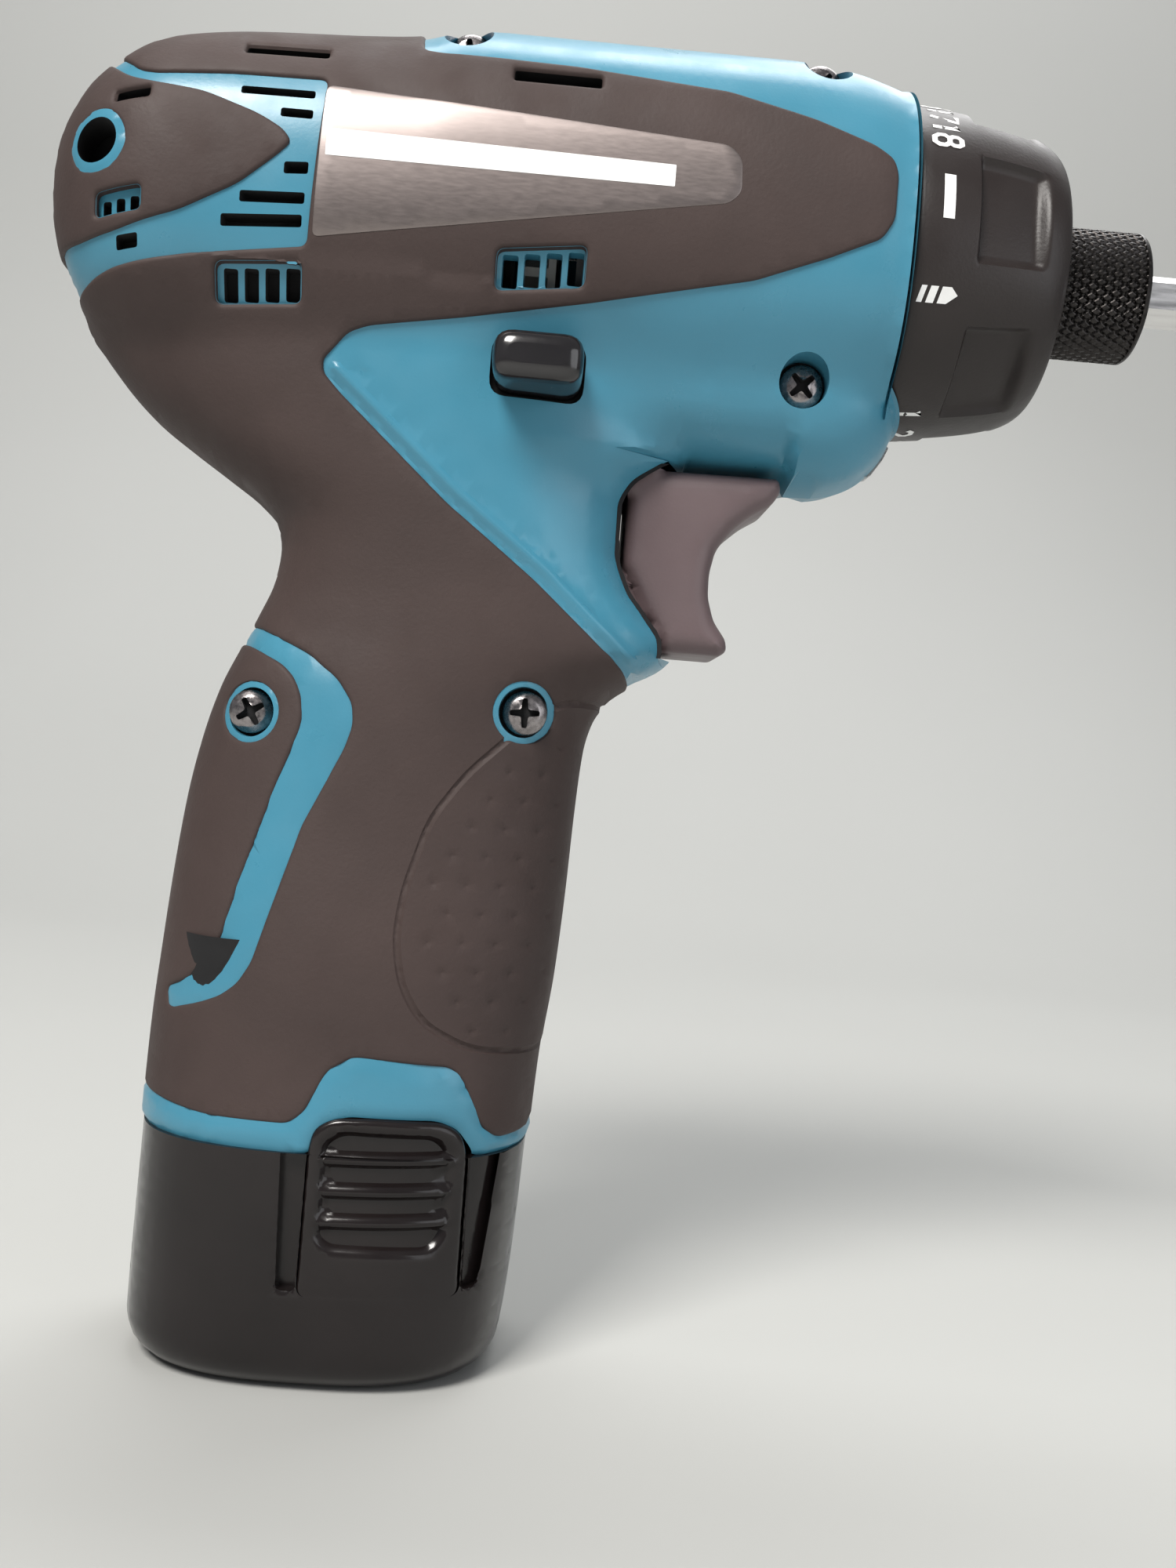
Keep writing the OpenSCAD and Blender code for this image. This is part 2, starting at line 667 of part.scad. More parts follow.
module latch(side) {
    color("#161618") at_tool() scale([1, side, 1]) difference() {
        union() {
            block([48, 20.3, -140.4], [68, 23, -119]);
            translate([48, 21.65, -140.4]) rotate([0, 90, 0]) cylinder(r = 1.35, h = 20);
        }
        for (z = [-123, -127, -130.6, -134.2]) block([50, 22.5, z - 0.5], [66, 24, z + 0.5]);
    }
}
module battery_latch_right() latch(-1);
module battery_latch_left() latch(1);

housing_right();
housing_left();
cover_right();
cover_left();
label_plates();
housing_screws();
motor_can();
motor_magnets();
motor_end_bell();
motor_bearings();
carbon_brushes();
gear_case();
gear_case_plate();
ring_gear_1();
ring_gear_3();
clutch_pins();
clutch_washer();
clutch_spring();
spindle_bearing();
switch_body();
terminal_block();
lead_wires();
led_lens();
led_board();
motor_shaft();
rotor_core();
rotor_windings();
commutator();
cooling_fan();
motor_pinion();
carrier_1();
planet_gear(0, 0);  // planet_1a
planet_gear(0, 1);  // planet_1b
planet_gear(0, 2);  // planet_1c
carrier_2();
planet_gear(1, 0);  // planet_2a
planet_gear(1, 1);  // planet_2b
planet_gear(1, 2);  // planet_2c
output_spindle();
planet_gear(2, 0);  // planet_3a
planet_gear(2, 1);  // planet_3b
planet_gear(2, 2);  // planet_3c
retaining_ring();
sleeve_spring();
chuck_balls();
chuck_sleeve();
driver_bit();
torque_ring();
clutch_nut();
speed_lever();
shift_fork();
ring_gear_2();
trigger();
trigger_spring();
direction_lever();
battery_case();
battery_cells();
battery_terminals();
battery_latch_right();
battery_latch_left();
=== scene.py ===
import math

import bmesh
import bpy
import numpy as np
from mathutils import Matrix, Vector
from mathutils.geometry import delaunay_2d_cdt


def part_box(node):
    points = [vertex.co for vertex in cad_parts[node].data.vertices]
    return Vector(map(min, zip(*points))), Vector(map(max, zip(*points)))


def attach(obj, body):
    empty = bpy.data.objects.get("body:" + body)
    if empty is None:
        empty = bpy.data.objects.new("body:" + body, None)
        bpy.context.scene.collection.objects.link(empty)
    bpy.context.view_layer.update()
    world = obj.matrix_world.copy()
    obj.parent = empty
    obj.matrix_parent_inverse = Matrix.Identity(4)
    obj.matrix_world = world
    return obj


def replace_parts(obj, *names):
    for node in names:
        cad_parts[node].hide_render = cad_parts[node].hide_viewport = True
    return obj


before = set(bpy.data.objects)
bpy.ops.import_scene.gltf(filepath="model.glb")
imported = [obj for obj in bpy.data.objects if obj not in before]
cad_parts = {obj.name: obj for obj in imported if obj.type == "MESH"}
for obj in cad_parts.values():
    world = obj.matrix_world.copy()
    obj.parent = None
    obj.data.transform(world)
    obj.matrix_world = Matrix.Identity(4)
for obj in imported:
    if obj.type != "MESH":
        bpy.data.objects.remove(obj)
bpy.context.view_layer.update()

MM = 0.001

# ---------------------------------------------------------------------------
# The tool's own plane, in millimetres: x from the back of the housing, z from
# the spindle axis, y = 0 on the mid-plane and -y on the right-hand side.
# ---------------------------------------------------------------------------
HOUSING_BACK = 1.2                       # x of the housing's rearmost point
REAR = 1.6                               # x where the visual model's rear starts
ring_low, ring_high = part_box("torque_ring")
AXIS_Z = (ring_low.z + ring_high.z) / 2
BACK_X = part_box("housing_right")[0].x - HOUSING_BACK * MM
BASE_Z = -AXIS_Z / MM                    # the battery's base
FRONT_X = 115.0                          # front face of the housing
DECK_Z = -123.2                          # where the battery meets the grip
SIDES = ("right", "left")
TEAL_DROP = 0.45                         # the elastomer stands this far above the teal


def row(points):
    """Points of the tool's plane in the row frame, in metres."""
    p = np.asarray(points, float).reshape(-1, 3) * MM
    return p + [BACK_X, 0, AXIS_Z]


# ---------------------------------------------------------------------------
# Curves and outlines
# ---------------------------------------------------------------------------
def curve(points):
    """Smooth function through (t, value) points, without overshoot."""
    t, v = np.array(sorted(points), float).T
    h = np.diff(t)
    d = np.diff(v) / h
    m = np.zeros(len(t))
    same = d[:-1] * d[1:] > 0
    w1, w2 = 2 * h[1:] + h[:-1], h[1:] + 2 * h[:-1]
    with np.errstate(divide="ignore", invalid="ignore"):
        m[1:-1] = np.where(same, (w1 + w2) / (w1 / d[:-1] + w2 / d[1:]), 0)
    m[0], m[-1] = d[0], d[-1]

    def value(q):
        q = np.clip(q, t[0], t[-1])
        i = np.clip(np.searchsorted(t, q) - 1, 0, len(h) - 1)
        s = (q - t[i]) / h[i]
        a, b = v[i], v[i + 1]
        return ((1 + 2 * s) * (1 - s) ** 2 * a + s * (1 - s) ** 2 * h[i] * m[i]
                + s * s * (3 - 2 * s) * b + s * s * (s - 1) * h[i] * m[i + 1])
    return value


def unit(values):
    """Values held between 0 and 1."""
    return np.clip(values, 0, 1)


def away(points, x, z):
    """Distance of points of the plane from (x, z)."""
    return np.hypot(points[:, 0] - x, points[:, 1] - z)


def softened(points, radius, step=0.7):
    """Closed outline with its corners rounded and its sides divided."""
    p = np.array(points, float)
    out = []
    for i in range(len(p)):
        a, b, c = p[i - 1], p[i], p[(i + 1) % len(p)]
        u, v = a - b, c - b
        lu, lv = np.linalg.norm(u), np.linalg.norm(v)
        cut = min(radius, lu * 0.45, lv * 0.45)
        start, end = b + u / lu * cut, b + v / lv * cut
        for s in np.linspace(0, 1, 6):
            out.append((1 - s) ** 2 * start + 2 * s * (1 - s) * b + s * s * end)
    return divided(out, step)


def divided(points, step, closed=True):
    """The same outline with no side longer than step."""
    out = []
    count = len(points)
    for i in range(count if closed else count - 1):
        a, b = np.array(points[i]), np.array(points[(i + 1) % count])
        pieces = max(1, int(math.ceil(np.linalg.norm(b - a) / step)))
        out += [a + (b - a) * k / pieces for k in range(pieces)]
    if not closed:
        out.append(np.array(points[-1]))
    return np.array(out)


def circle(x, z, r, count=40):
    a = np.linspace(0, 2 * np.pi, count, endpoint=False)
    return np.stack([x + r * np.cos(a), z + r * np.sin(a)], 1)


def inside(points, outline):
    """True where a point lies inside a closed outline."""
    x, z = points[:, 0, None], points[:, 1, None]
    x0, z0 = outline[:, 0], outline[:, 1]
    x1, z1 = np.roll(x0, -1), np.roll(z0, -1)
    with np.errstate(divide="ignore", invalid="ignore"):
        cross = x0 + (z - z0) * (x1 - x0) / (z1 - z0)
    hits = ((z0 > z) != (z1 > z)) & (x < cross)
    return hits.sum(1) % 2 == 1


def distance(points, outline, closed=True):
    """Distance from each point to an outline."""
    a = outline if closed else outline[:-1]
    b = np.roll(outline, -1, 0) if closed else outline[1:]
    best = np.full(len(points), 1e9)
    ab = b - a
    size = np.maximum((ab ** 2).sum(1), 1e-12)
    for k in range(0, len(points), 4000):
        p = points[k:k + 4000, None, :]
        t = unit(((p - a) * ab).sum(2) / size)
        near = a + t[..., None] * ab
        best[k:k + 4000] = np.sqrt(((p - near) ** 2).sum(2)).min(1)
    return best


def offset(outline, amount):
    """A closed outline moved inwards by amount, or outwards if it is negative."""
    before, after = np.roll(outline, 1, 0), np.roll(outline, -1, 0)
    along = after - before
    along /= np.maximum(np.linalg.norm(along, axis=1), 1e-9)[:, None]
    ahead = np.roll(outline, -1, 0)
    area = (outline[:, 0] * ahead[:, 1] - ahead[:, 0] * outline[:, 1]).sum()
    normal = np.stack([-along[:, 1], along[:, 0]], 1) * np.sign(area)
    moved = outline + normal * amount
    return moved[distance(moved, outline) > abs(amount) * 0.85]


# ---------------------------------------------------------------------------
# Form of the housing and the battery: half width of the body at (x, z)
# ---------------------------------------------------------------------------
BARREL_W = 24.4
barrel_top = curve([(REAR, 1), (2.2, 5), (3.6, 8.6), (6, 12.2), (9, 15.6), (12.5, 17.9), (16, 19.9),
                    (20, 21.1), (28, 22.3), (44, 23.3), (50, 23.9), (56, 25.6), (62, 26), (98, 26),
                    (104, 25.6), (108, 24.9), (112, 23.8), (FRONT_X, 22.9)])
barrel_low = curve([(REAR, 1), (1.9, -4), (3, -8.6), (4.7, -13), (7.2, -17), (11.8, -20.8), (20, -23.4),
                    (30, -24), (90, -23.6), (FRONT_X, -22.8)])
grip_back = curve([(-126, 22.7), (-110, 23.1), (-100, 23.7), (-90, 24.4), (-80, 25.4), (-72, 26.8),
                   (-65, 28.7), (-59.5, 31), (-55, 33), (-50, 34.9), (-46, 35.4), (-42.5, 34.6),
                   (-39.5, 31.8), (-36.5, 27.4), (-33, 22), (-29.5, 17), (-24, 11.4), (-18, 7), (-12, 5)])
grip_front = curve([(-126, 75.6), (-112, 76.3), (-101, 77.4), (-90, 78), (-78, 78.4), (-70, 78.9),
                    (-66, 79.8), (-63, 81.6), (-60.5, 84.8), (-58.4, 88.6), (-56.4, 90.4), (-54.6, 90.3),
                    (-51, 87.8), (-47.5, 85), (-42.3, 83.2), (-37, 83.3), (-33.8, 84.8), (-31.2, 88.4),
                    (-29.5, 91), (-12, 91)])
grip_half = curve([(-126, 23), (-118, 22.8), (-108, 22.2), (-98, 21.4), (-80, 19.4), (-65, 18.7),
                   (-50, 18.4), (-36, 18.8), (-24, 19.6), (-12, 20)])
BARREL_POWER, GRIP_POWER, BATTERY_POWER = 2.4, 2.5, 2.7      # how square each section is
NOSE_POWER, NOSE_DROP = 2.6, 3.0         # the same for the nose, across and downwards
NOSE_W = 17.2
NOSE_BACK, NOSE_FRONT = (88.0, 31.0), (104.0, 15.2)     # where each end starts to round, and its length
NOSE_TOP = -14.0
nose_low = curve([(50, -30.4), (102.4, -30.4), (104, -32.4), (120, -32.4)])
LIP_R = 22.8                             # the nose runs on below the clutch ring outside this radius


def rounded_section(u, power):
    """Half width, from 1 at u = 0 to 0 at u = 1."""
    return (1 - unit(np.abs(u)) ** power) ** (1 / power)


def barrel_w(x, z):
    """Half width of the barrel, rounded off at the rear."""
    top, low = barrel_top(x), barrel_low(x)
    back = rounded_section(unit((21 - x) / (21 - REAR)), 2.1)
    front = 1 - 0.035 * unit((x - 108) / 7) ** 2
    up = (z - (top + low) / 2) / np.maximum((top - low) / 2, 0.01)
    w = BARREL_W * back * front * rounded_section(up, BARREL_POWER)
    return np.where((x > REAR) & (x <= FRONT_X + 0.01), w, 0)


def handle_w(x, z):
    """Half width of the grip."""
    back, front = grip_back(z), grip_front(z)
    w = grip_half(z) * rounded_section((x - (back + front) / 2) / ((front - back) / 2), GRIP_POWER)
    return np.where((z < -12) & (z > -126), w, 0)


def nose_w(x, z):
    """Half width of the nose between the trigger and the clutch ring."""
    back = unit((NOSE_BACK[0] - x) / NOSE_BACK[1])
    front = unit((x - NOSE_FRONT[0]) / NOSE_FRONT[1])
    down = unit((NOSE_TOP - z) / (NOSE_TOP - nose_low(x)))
    left = unit(1 - (back + front) ** NOSE_POWER - down ** NOSE_DROP)
    return np.where((z < -12) & (x > 60), NOSE_W * left ** (1 / NOSE_POWER), 0)


def blended(a, b, reach):
    """The larger of two half widths, with a fillet between them away from the silhouette."""
    top = np.maximum(a, b)
    k = reach * unit(top / 8) + 1e-6
    h = np.clip(k - np.abs(a - b), 0, None) / k
    return top + h * h * k / 4


def body_w(x, z):
    """Half width of the whole housing."""
    return blended(blended(barrel_w(x, z), handle_w(x, z), 5), nose_w(x, z), 4)


battery_back = curve([(BASE_Z, 29), (BASE_Z + 0.25, 27), (BASE_Z + 1.2, 25), (BASE_Z + 3.2, 23.5),
                      (BASE_Z + 5.6, 23), (-120, 23.4)])
battery_front = curve([(BASE_Z, 68), (BASE_Z + 0.25, 70), (BASE_Z + 1.2, 71.9), (BASE_Z + 3.2, 73.4),
                       (BASE_Z + 6, 74), (-120, 75.5)])
battery_half = curve([(BASE_Z, 17.2), (BASE_Z + 0.25, 19), (BASE_Z + 1.2, 20.8), (BASE_Z + 3.2, 22.3),
                      (BASE_Z + 5.6, 22.8), (-120, 23.1)])


def battery_w(x, z):
    """Half width of the battery case."""
    back, front = battery_back(z), battery_front(z)
    return battery_half(z) * rounded_section((x - (back + front) / 2) / ((front - back) / 2), BATTERY_POWER)


def normals(w, x, z):
    """Outward normals of the right-hand surface y = -w(x, z)."""
    h = 0.12
    wx = (w(x + h, z) - w(x - h, z)) / (2 * h)
    wz = (w(x, z + h) - w(x, z - h)) / (2 * h)
    n = np.stack([-wx, -np.ones_like(wx), -wz], 1)
    return n / np.linalg.norm(n, axis=1)[:, None]


# ---------------------------------------------------------------------------
# Mesh helpers
# ---------------------------------------------------------------------------
def add_object(name, data):
    """An object in the scene for a mesh, a light or a camera."""
    thing = bpy.data.objects.new(name, data)
    bpy.context.scene.collection.objects.link(thing)
    return thing


def make_piece(name, verts, faces, body, slot, material, sharp=32, extra=(), picks=None, weld=0.0):
    """A mesh object from points of the tool's plane, riding on a CAD body."""
    mesh = bpy.data.meshes.new(name)
    mesh.from_pydata(row(verts).tolist(), [], [list(map(int, f)) for f in faces])
    for m in (material, *extra):
        mesh.materials.append(m)
    if picks is not None:
        mesh.polygons.foreach_set("material_index", np.asarray(picks, np.int32))
    if weld:
        bm = bmesh.new()
        bm.from_mesh(mesh)
        bmesh.ops.remove_doubles(bm, verts=bm.verts, dist=weld * MM)
        bmesh.ops.recalc_face_normals(bm, faces=bm.faces)
        bm.to_mesh(mesh)
        bm.free()
    mesh.polygons.foreach_set("use_smooth", [True] * len(mesh.polygons))
    mesh.set_sharp_from_angle(angle=math.radians(sharp))
    piece = add_object(name, mesh)
    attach(piece, body)
    return piece


def quads(rows, count, closed=True):
    """Faces between neighbouring rows of count points, which close into rings or stay open."""
    faces = []
    for k in range(rows - 1):
        start, above = k * count, (k + 1) * count
        for i in range(count if closed else count - 1):
            j = (i + 1) % count
            faces.append((start + i, start + j, above + j, above + i))
    return faces


def triangulate(loops, points, keep):
    """Triangles of the plane that follow every loop, where keep(centres) is true."""
    verts, edges = [], []
    for loop, closed in loops:
        start = len(verts)
        verts += [Vector(p) for p in loop]
        edges += [(start + i, start + i + 1) for i in range(len(loop) - 1)]
        if closed:
            edges.append((start + len(loop) - 1, start))
    verts += [Vector(p) for p in points]
    flat, _, tris, _, _, _ = delaunay_2d_cdt(verts, edges, [], 0, 1e-5)
    flat = np.array([tuple(v) for v in flat])
    tris = np.array(tris)
    centres = flat[tris].mean(1)
    tris = tris[keep(centres)]
    used = np.unique(tris)
    index = np.zeros(len(flat), int)
    index[used] = np.arange(len(used))
    return flat[used], index[tris]


def grid_points(low, high, step):
    """A staggered grid that covers a rectangle of the plane."""
    xs = np.arange(low[0], high[0], step)
    zs = np.arange(low[1], high[1], step * 0.866)
    x, z = np.meshgrid(xs, zs)
    x = x + (np.arange(len(zs)) % 2 * step / 2)[:, None]
    return np.stack([x.ravel(), z.ravel()], 1)


def thinned(points, loops, gap):
    """Points that keep clear of every loop."""
    clear = np.full(len(points), True)
    for loop, closed in loops:
        near = (points > loop.min(0) - gap).all(1) & (points < loop.max(0) + gap).all(1)
        clear[near] &= distance(points[near], loop, closed) > gap
    return points[clear]


LEVELS = [0.0, 0.08, 0.18, 0.3, 0.42, 0.54, 0.65, 0.75, 0.84, 0.91]


def band_levels(back, front, zs, power):
    """Loops along a form's silhouette: closer together where it turns away."""
    rows = []
    for level in LEVELS:
        u = (1 - level ** power) ** (1 / power)
        b, f = back(zs), front(zs)
        mid, half = (b + f) / 2, (f - b) / 2
        rows.append(np.stack([mid - half * u, zs], 1))
        rows.append(np.stack([mid + half * u, zs], 1))
    return rows


def body_levels():
    """Silhouette lines of the housing, each where its own form is the outer one."""
    zs = np.append(np.arange(DECK_Z, NOSE_TOP, 0.9), NOSE_TOP)
    near_rear = REAR + np.array([0, 0.1, 0.3, 0.6, 1.1, 1.7])
    xs = np.concatenate([near_rear, np.arange(4, FRONT_X, 0.9), [FRONT_X]])
    lines = [(line, handle_w) for line in band_levels(grip_back, grip_front, zs, GRIP_POWER)]
    barrel_lines = band_levels(barrel_low, barrel_top, xs, BARREL_POWER)
    lines += [(line[:, ::-1], barrel_w) for line in barrel_lines]
    lines += [(line, nose_w) for line in nose_lines(LEVELS)]
    points = []
    for line, form in lines:
        w = form(line[:, 0], line[:, 1])
        rest = [f(line[:, 0], line[:, 1]) for f in (barrel_w, handle_w, nose_w) if f is not form]
        others = np.maximum.reduce(rest)
        points.append(line[others <= w + 0.6])
    return np.concatenate(points)


def nose_lines(levels):
    """Lines of equal half width round the nose, from under the trigger to the clutch ring."""
    lines = []
    for level in levels:
        left = 1 - level ** NOSE_POWER
        down = (left * np.linspace(0.02, 1, 30)) ** (1 / NOSE_DROP)
        out = np.clip(left - down ** NOSE_DROP, 0, None) ** (1 / NOSE_POWER)
        bottom = np.arange(NOSE_BACK[0], NOSE_FRONT[0], 0.8)[::-1]
        front, back = NOSE_FRONT[0] + NOSE_FRONT[1] * out, NOSE_BACK[0] - NOSE_BACK[1] * out
        x = np.concatenate([front, bottom, back[::-1]])
        down = np.concatenate([down, np.full(len(bottom), down[-1]), down[::-1]])
        lines.append(np.stack([x, NOSE_TOP + (nose_low(x) - NOSE_TOP) * down], 1))
    return lines


def lip_line():
    """Where the nose's surface meets the clearance round the clutch ring: (x, z, angle from below)."""
    angles = np.linspace(0, 1.0, 50)
    z, half = -LIP_R * np.cos(angles), LIP_R * np.sin(angles)
    down = (NOSE_TOP - z) / (NOSE_TOP - nose_low(110.0))
    left = unit(1 - unit(down) ** NOSE_DROP - (half / NOSE_W) ** NOSE_POWER)
    x = NOSE_FRONT[0] + NOSE_FRONT[1] * left ** (1 / NOSE_POWER)
    ahead = x > FRONT_X
    return x[ahead], z[ahead], angles[ahead]


def silhouette_loops():
    zs = np.arange(DECK_Z, -20, 0.8)
    near_rear = REAR + np.array([0, 0.05, 0.2, 0.5, 0.9, 1.5])
    xs = np.concatenate([near_rear, np.arange(3.8, FRONT_X, 0.8), [FRONT_X]])
    lines = [np.stack([grip_back(zs), zs], 1), np.stack([grip_front(zs), zs], 1),
             np.stack([xs, barrel_top(xs)], 1), np.stack([xs, barrel_low(xs)], 1), nose_lines([0])[0]]
    lines.append(np.stack([np.full(60, FRONT_X), np.linspace(-LIP_R, 24.5, 60)], 1))
    lines.append(np.stack(lip_line()[:2], 1))
    return [(line, False) for line in lines]


def lifted(flat, w, height=0.0, sink=0.0):
    """Points of the plane raised to the right-hand surface, then moved along its normal by
    height and pushed towards the mid-plane by sink."""
    x, z = flat[:, 0], flat[:, 1]
    y = -w(x, z)
    p = np.stack([x, y, z], 1) + normals(w, x, z) * np.broadcast_to(height, x.shape)[:, None]
    p[:, 1] = np.minimum(p[:, 1] + sink, 0)
    return p


def mirrored(verts, faces):
    """The left-hand copy of a right-hand mesh."""
    return verts * [1, -1, 1], [tuple(face)[::-1] for face in faces]


# ---------------------------------------------------------------------------
# Materials
# ---------------------------------------------------------------------------
def new_material(name, color, rough, metal=0.0):
    mat = bpy.data.materials.new(name)
    mat.use_nodes = True
    nodes = mat.node_tree.nodes
    shader = nodes["Principled BSDF"]
    shader.inputs["Base Color"].default_value = (*color, 1)
    shader.inputs["Roughness"].default_value = rough
    shader.inputs["Metallic"].default_value = metal
    return mat, nodes, mat.node_tree.links, shader


def noise(nodes, links, scale, detail=4.0, stretch=(1, 1, 1)):
    """A noise texture on the object's own coordinates, in metres."""
    coords = nodes.new("ShaderNodeTexCoord")
    mapping = nodes.new("ShaderNodeMapping")
    mapping.inputs["Scale"].default_value = stretch
    tex = nodes.new("ShaderNodeTexNoise")
    tex.inputs["Scale"].default_value = scale
    tex.inputs["Detail"].default_value = detail
    links.new(coords.outputs["Object"], mapping.inputs["Vector"])
    links.new(mapping.outputs["Vector"], tex.inputs["Vector"])
    return tex.outputs["Fac"]


def ramp(nodes, links, value, stops):
    """Colours or levels along a value, from (place, colour) stops."""
    node = nodes.new("ShaderNodeValToRGB")
    element = node.color_ramp.elements
    while len(element) < len(stops):
        element.new(0.5)
    for e, (place, color) in zip(element, stops):
        e.position = place
        e.color = (*color, 1) if len(color) == 3 else color
    links.new(value, node.inputs["Fac"])
    return node.outputs["Color"]


def ramped(nodes, links, value, low, high, socket):
    """A ramp between two (place, colour) stops that drives one of the shader's sockets."""
    links.new(ramp(nodes, links, value, [low, high]), socket)


def bumped(nodes, links, shader, layers):
    """Chains bump layers (value, strength, depth in metres) into the shader's normal."""
    normal = None
    for value, strength, depth in layers:
        bump = nodes.new("ShaderNodeBump")
        bump.inputs["Strength"].default_value = strength
        bump.inputs["Distance"].default_value = depth
        links.new(value, bump.inputs["Height"])
        if normal:
            links.new(normal, bump.inputs["Normal"])
        normal = bump.outputs["Normal"]
    links.new(normal, shader.inputs["Normal"])


def grey(level):
    return (level, level, level)


def shade(color, factor):
    return tuple(min(1.0, c * factor) for c in color)


WEAR = 0.08      # how far handling changes the roughness of plastic


def moulded(name, color, rough, grain=2600, grain_bump=0.12, spread=0.1, coat=0.0, gloss=0.5):
    """Moulded plastic or elastomer: a fine spark-eroded grain, slow colour drift and handling marks."""
    mat, nodes, links, shader = new_material(name, color, rough)
    shader.inputs["Coat Weight"].default_value = coat
    shader.inputs["Specular IOR Level"].default_value = gloss
    shader.inputs["Coat Roughness"].default_value = 0.12
    slow = noise(nodes, links, 55, 5)
    ramped(nodes, links, slow, (0.3, shade(color, 1 - spread)), (0.7, shade(color, 1 + spread)),
           shader.inputs["Base Color"])
    worn = noise(nodes, links, 160, 6)
    ramped(nodes, links, worn, (0.3, grey(max(0.03, rough - WEAR))), (0.75, grey(min(1, rough + WEAR))),
           shader.inputs["Roughness"])
    bumped(nodes, links, shader, [(noise(nodes, links, grain, 3), grain_bump, 0.00012),
                                  (noise(nodes, links, 420, 2), grain_bump * 0.4, 0.0002)])
    return mat


def metal(name, color, rough, stretch=(1, 1, 1), scale=900, spread=0.12, bump=0.08, play=0.09):
    """Machined or drawn metal with fine marks along one direction."""
    mat, nodes, links, shader = new_material(name, color, rough, 1.0)
    marks = noise(nodes, links, scale, 4, stretch)
    ramped(nodes, links, marks, (0.3, shade(color, 1 - spread)), (0.7, shade(color, 1 + spread)),
           shader.inputs["Base Color"])
    ramped(nodes, links, marks, (0.25, grey(max(0.05, rough - play))), (0.75, grey(rough + play)),
           shader.inputs["Roughness"])
    bumped(nodes, links, shader, [(marks, bump, 0.00008)])
    return mat


TEAL = moulded("teal_moulding", (0.052, 0.225, 0.325), 0.34, grain_bump=0.08, spread=0.05, coat=0.05)
SOFT = moulded("dark_elastomer", (0.050, 0.034, 0.031), 0.66, grain=1900, grain_bump=0.34, spread=0.14,
               gloss=0.32)
# Near-black painted shade, put inside slots, holes, screw recesses and openings where the real tool shows
# only shadow.
PAINTED_SHADE = moulded("vent_shadow", (0.006, 0.006, 0.007), 0.9, spread=0.2)
TRIGGER = moulded("trigger_moulding", (0.125, 0.090, 0.094), 0.46, grain=2200, grain_bump=0.2, gloss=0.4)
RING = moulded("ring_moulding", (0.020, 0.015, 0.014), 0.42, grain=2400, grain_bump=0.2, gloss=0.4)
GLOSS = moulded("gloss_black", (0.010, 0.0075, 0.0075), 0.2, grain=900, grain_bump=0.03, spread=0.3,
                gloss=0.42)
LEVER = moulded("lever_black", (0.010, 0.009, 0.010), 0.2, grain=1200, grain_bump=0.03, spread=0.2, coat=0.5)
WHITE = moulded("printed_white", (0.85, 0.85, 0.84), 0.5, grain_bump=0.05, spread=0.03)
LABEL = metal("label_film", (0.25, 0.215, 0.205), 0.4, stretch=(0.2, 1, 1), scale=3200, spread=0.05,
              bump=0.02, play=0.03)
SCREW = metal("black_screw", (0.27, 0.25, 0.25), 0.27, scale=1500, spread=0.25, bump=0.15)
KNURL = metal("black_knurl", (0.04, 0.037, 0.036), 0.36, scale=1800, spread=0.3, bump=0.2)
STEEL = metal("machined_steel", (0.62, 0.62, 0.64), 0.25, stretch=(6, 1, 1), scale=700)
NICKEL = metal("nickel_bit", (0.72, 0.71, 0.70), 0.2, stretch=(0.1, 1, 1), scale=1200, spread=0.08)
CAN = metal("zinc_can", (0.55, 0.56, 0.57), 0.38, scale=260, spread=0.2)
NYLON = moulded("case_nylon", (0.035, 0.034, 0.036), 0.5, grain=1700, grain_bump=0.25)
SPRING = metal("spring_wire", (0.5, 0.5, 0.52), 0.28, scale=1500)
BRONZE = metal("sintered_bronze", (0.5, 0.34, 0.16), 0.45, scale=2200, spread=0.2, bump=0.2)
COPPER = metal("copper_wire", (0.62, 0.25, 0.09), 0.3, stretch=(0.2, 3, 3), scale=1500, spread=0.25,
               bump=0.4)
BRASS = metal("contact_brass", (0.72, 0.53, 0.22), 0.25, scale=900)
MAGNET = moulded("ferrite", (0.035, 0.035, 0.038), 0.6, grain=1500, grain_bump=0.3)
BELL = moulded("pale_moulding", (0.72, 0.71, 0.66), 0.45)
CARBON = moulded("carbon", (0.02, 0.02, 0.021), 0.65, grain=1800, grain_bump=0.4)
SWITCH = moulded("switch_moulding", (0.02, 0.02, 0.022), 0.45)
WIRE = moulded("wire_sleeve", (0.45, 0.02, 0.015), 0.4)
BOARD = moulded("board", (0.015, 0.16, 0.05), 0.35, coat=0.4)
FAN = moulded("fan_nylon", (0.78, 0.77, 0.74), 0.5)
CELL = moulded("cell_wrap", (0.03, 0.14, 0.36), 0.3, coat=0.3)


def lens_material():
    mat, nodes, links, shader = new_material("clear_lens", (0.9, 0.93, 0.96), 0.12)
    shader.inputs["Transmission Weight"].default_value = 0.85
    shader.inputs["IOR"].default_value = 1.49
    bumped(nodes, links, shader, [(noise(nodes, links, 500, 2), 0.1, 0.0001)])
    return mat


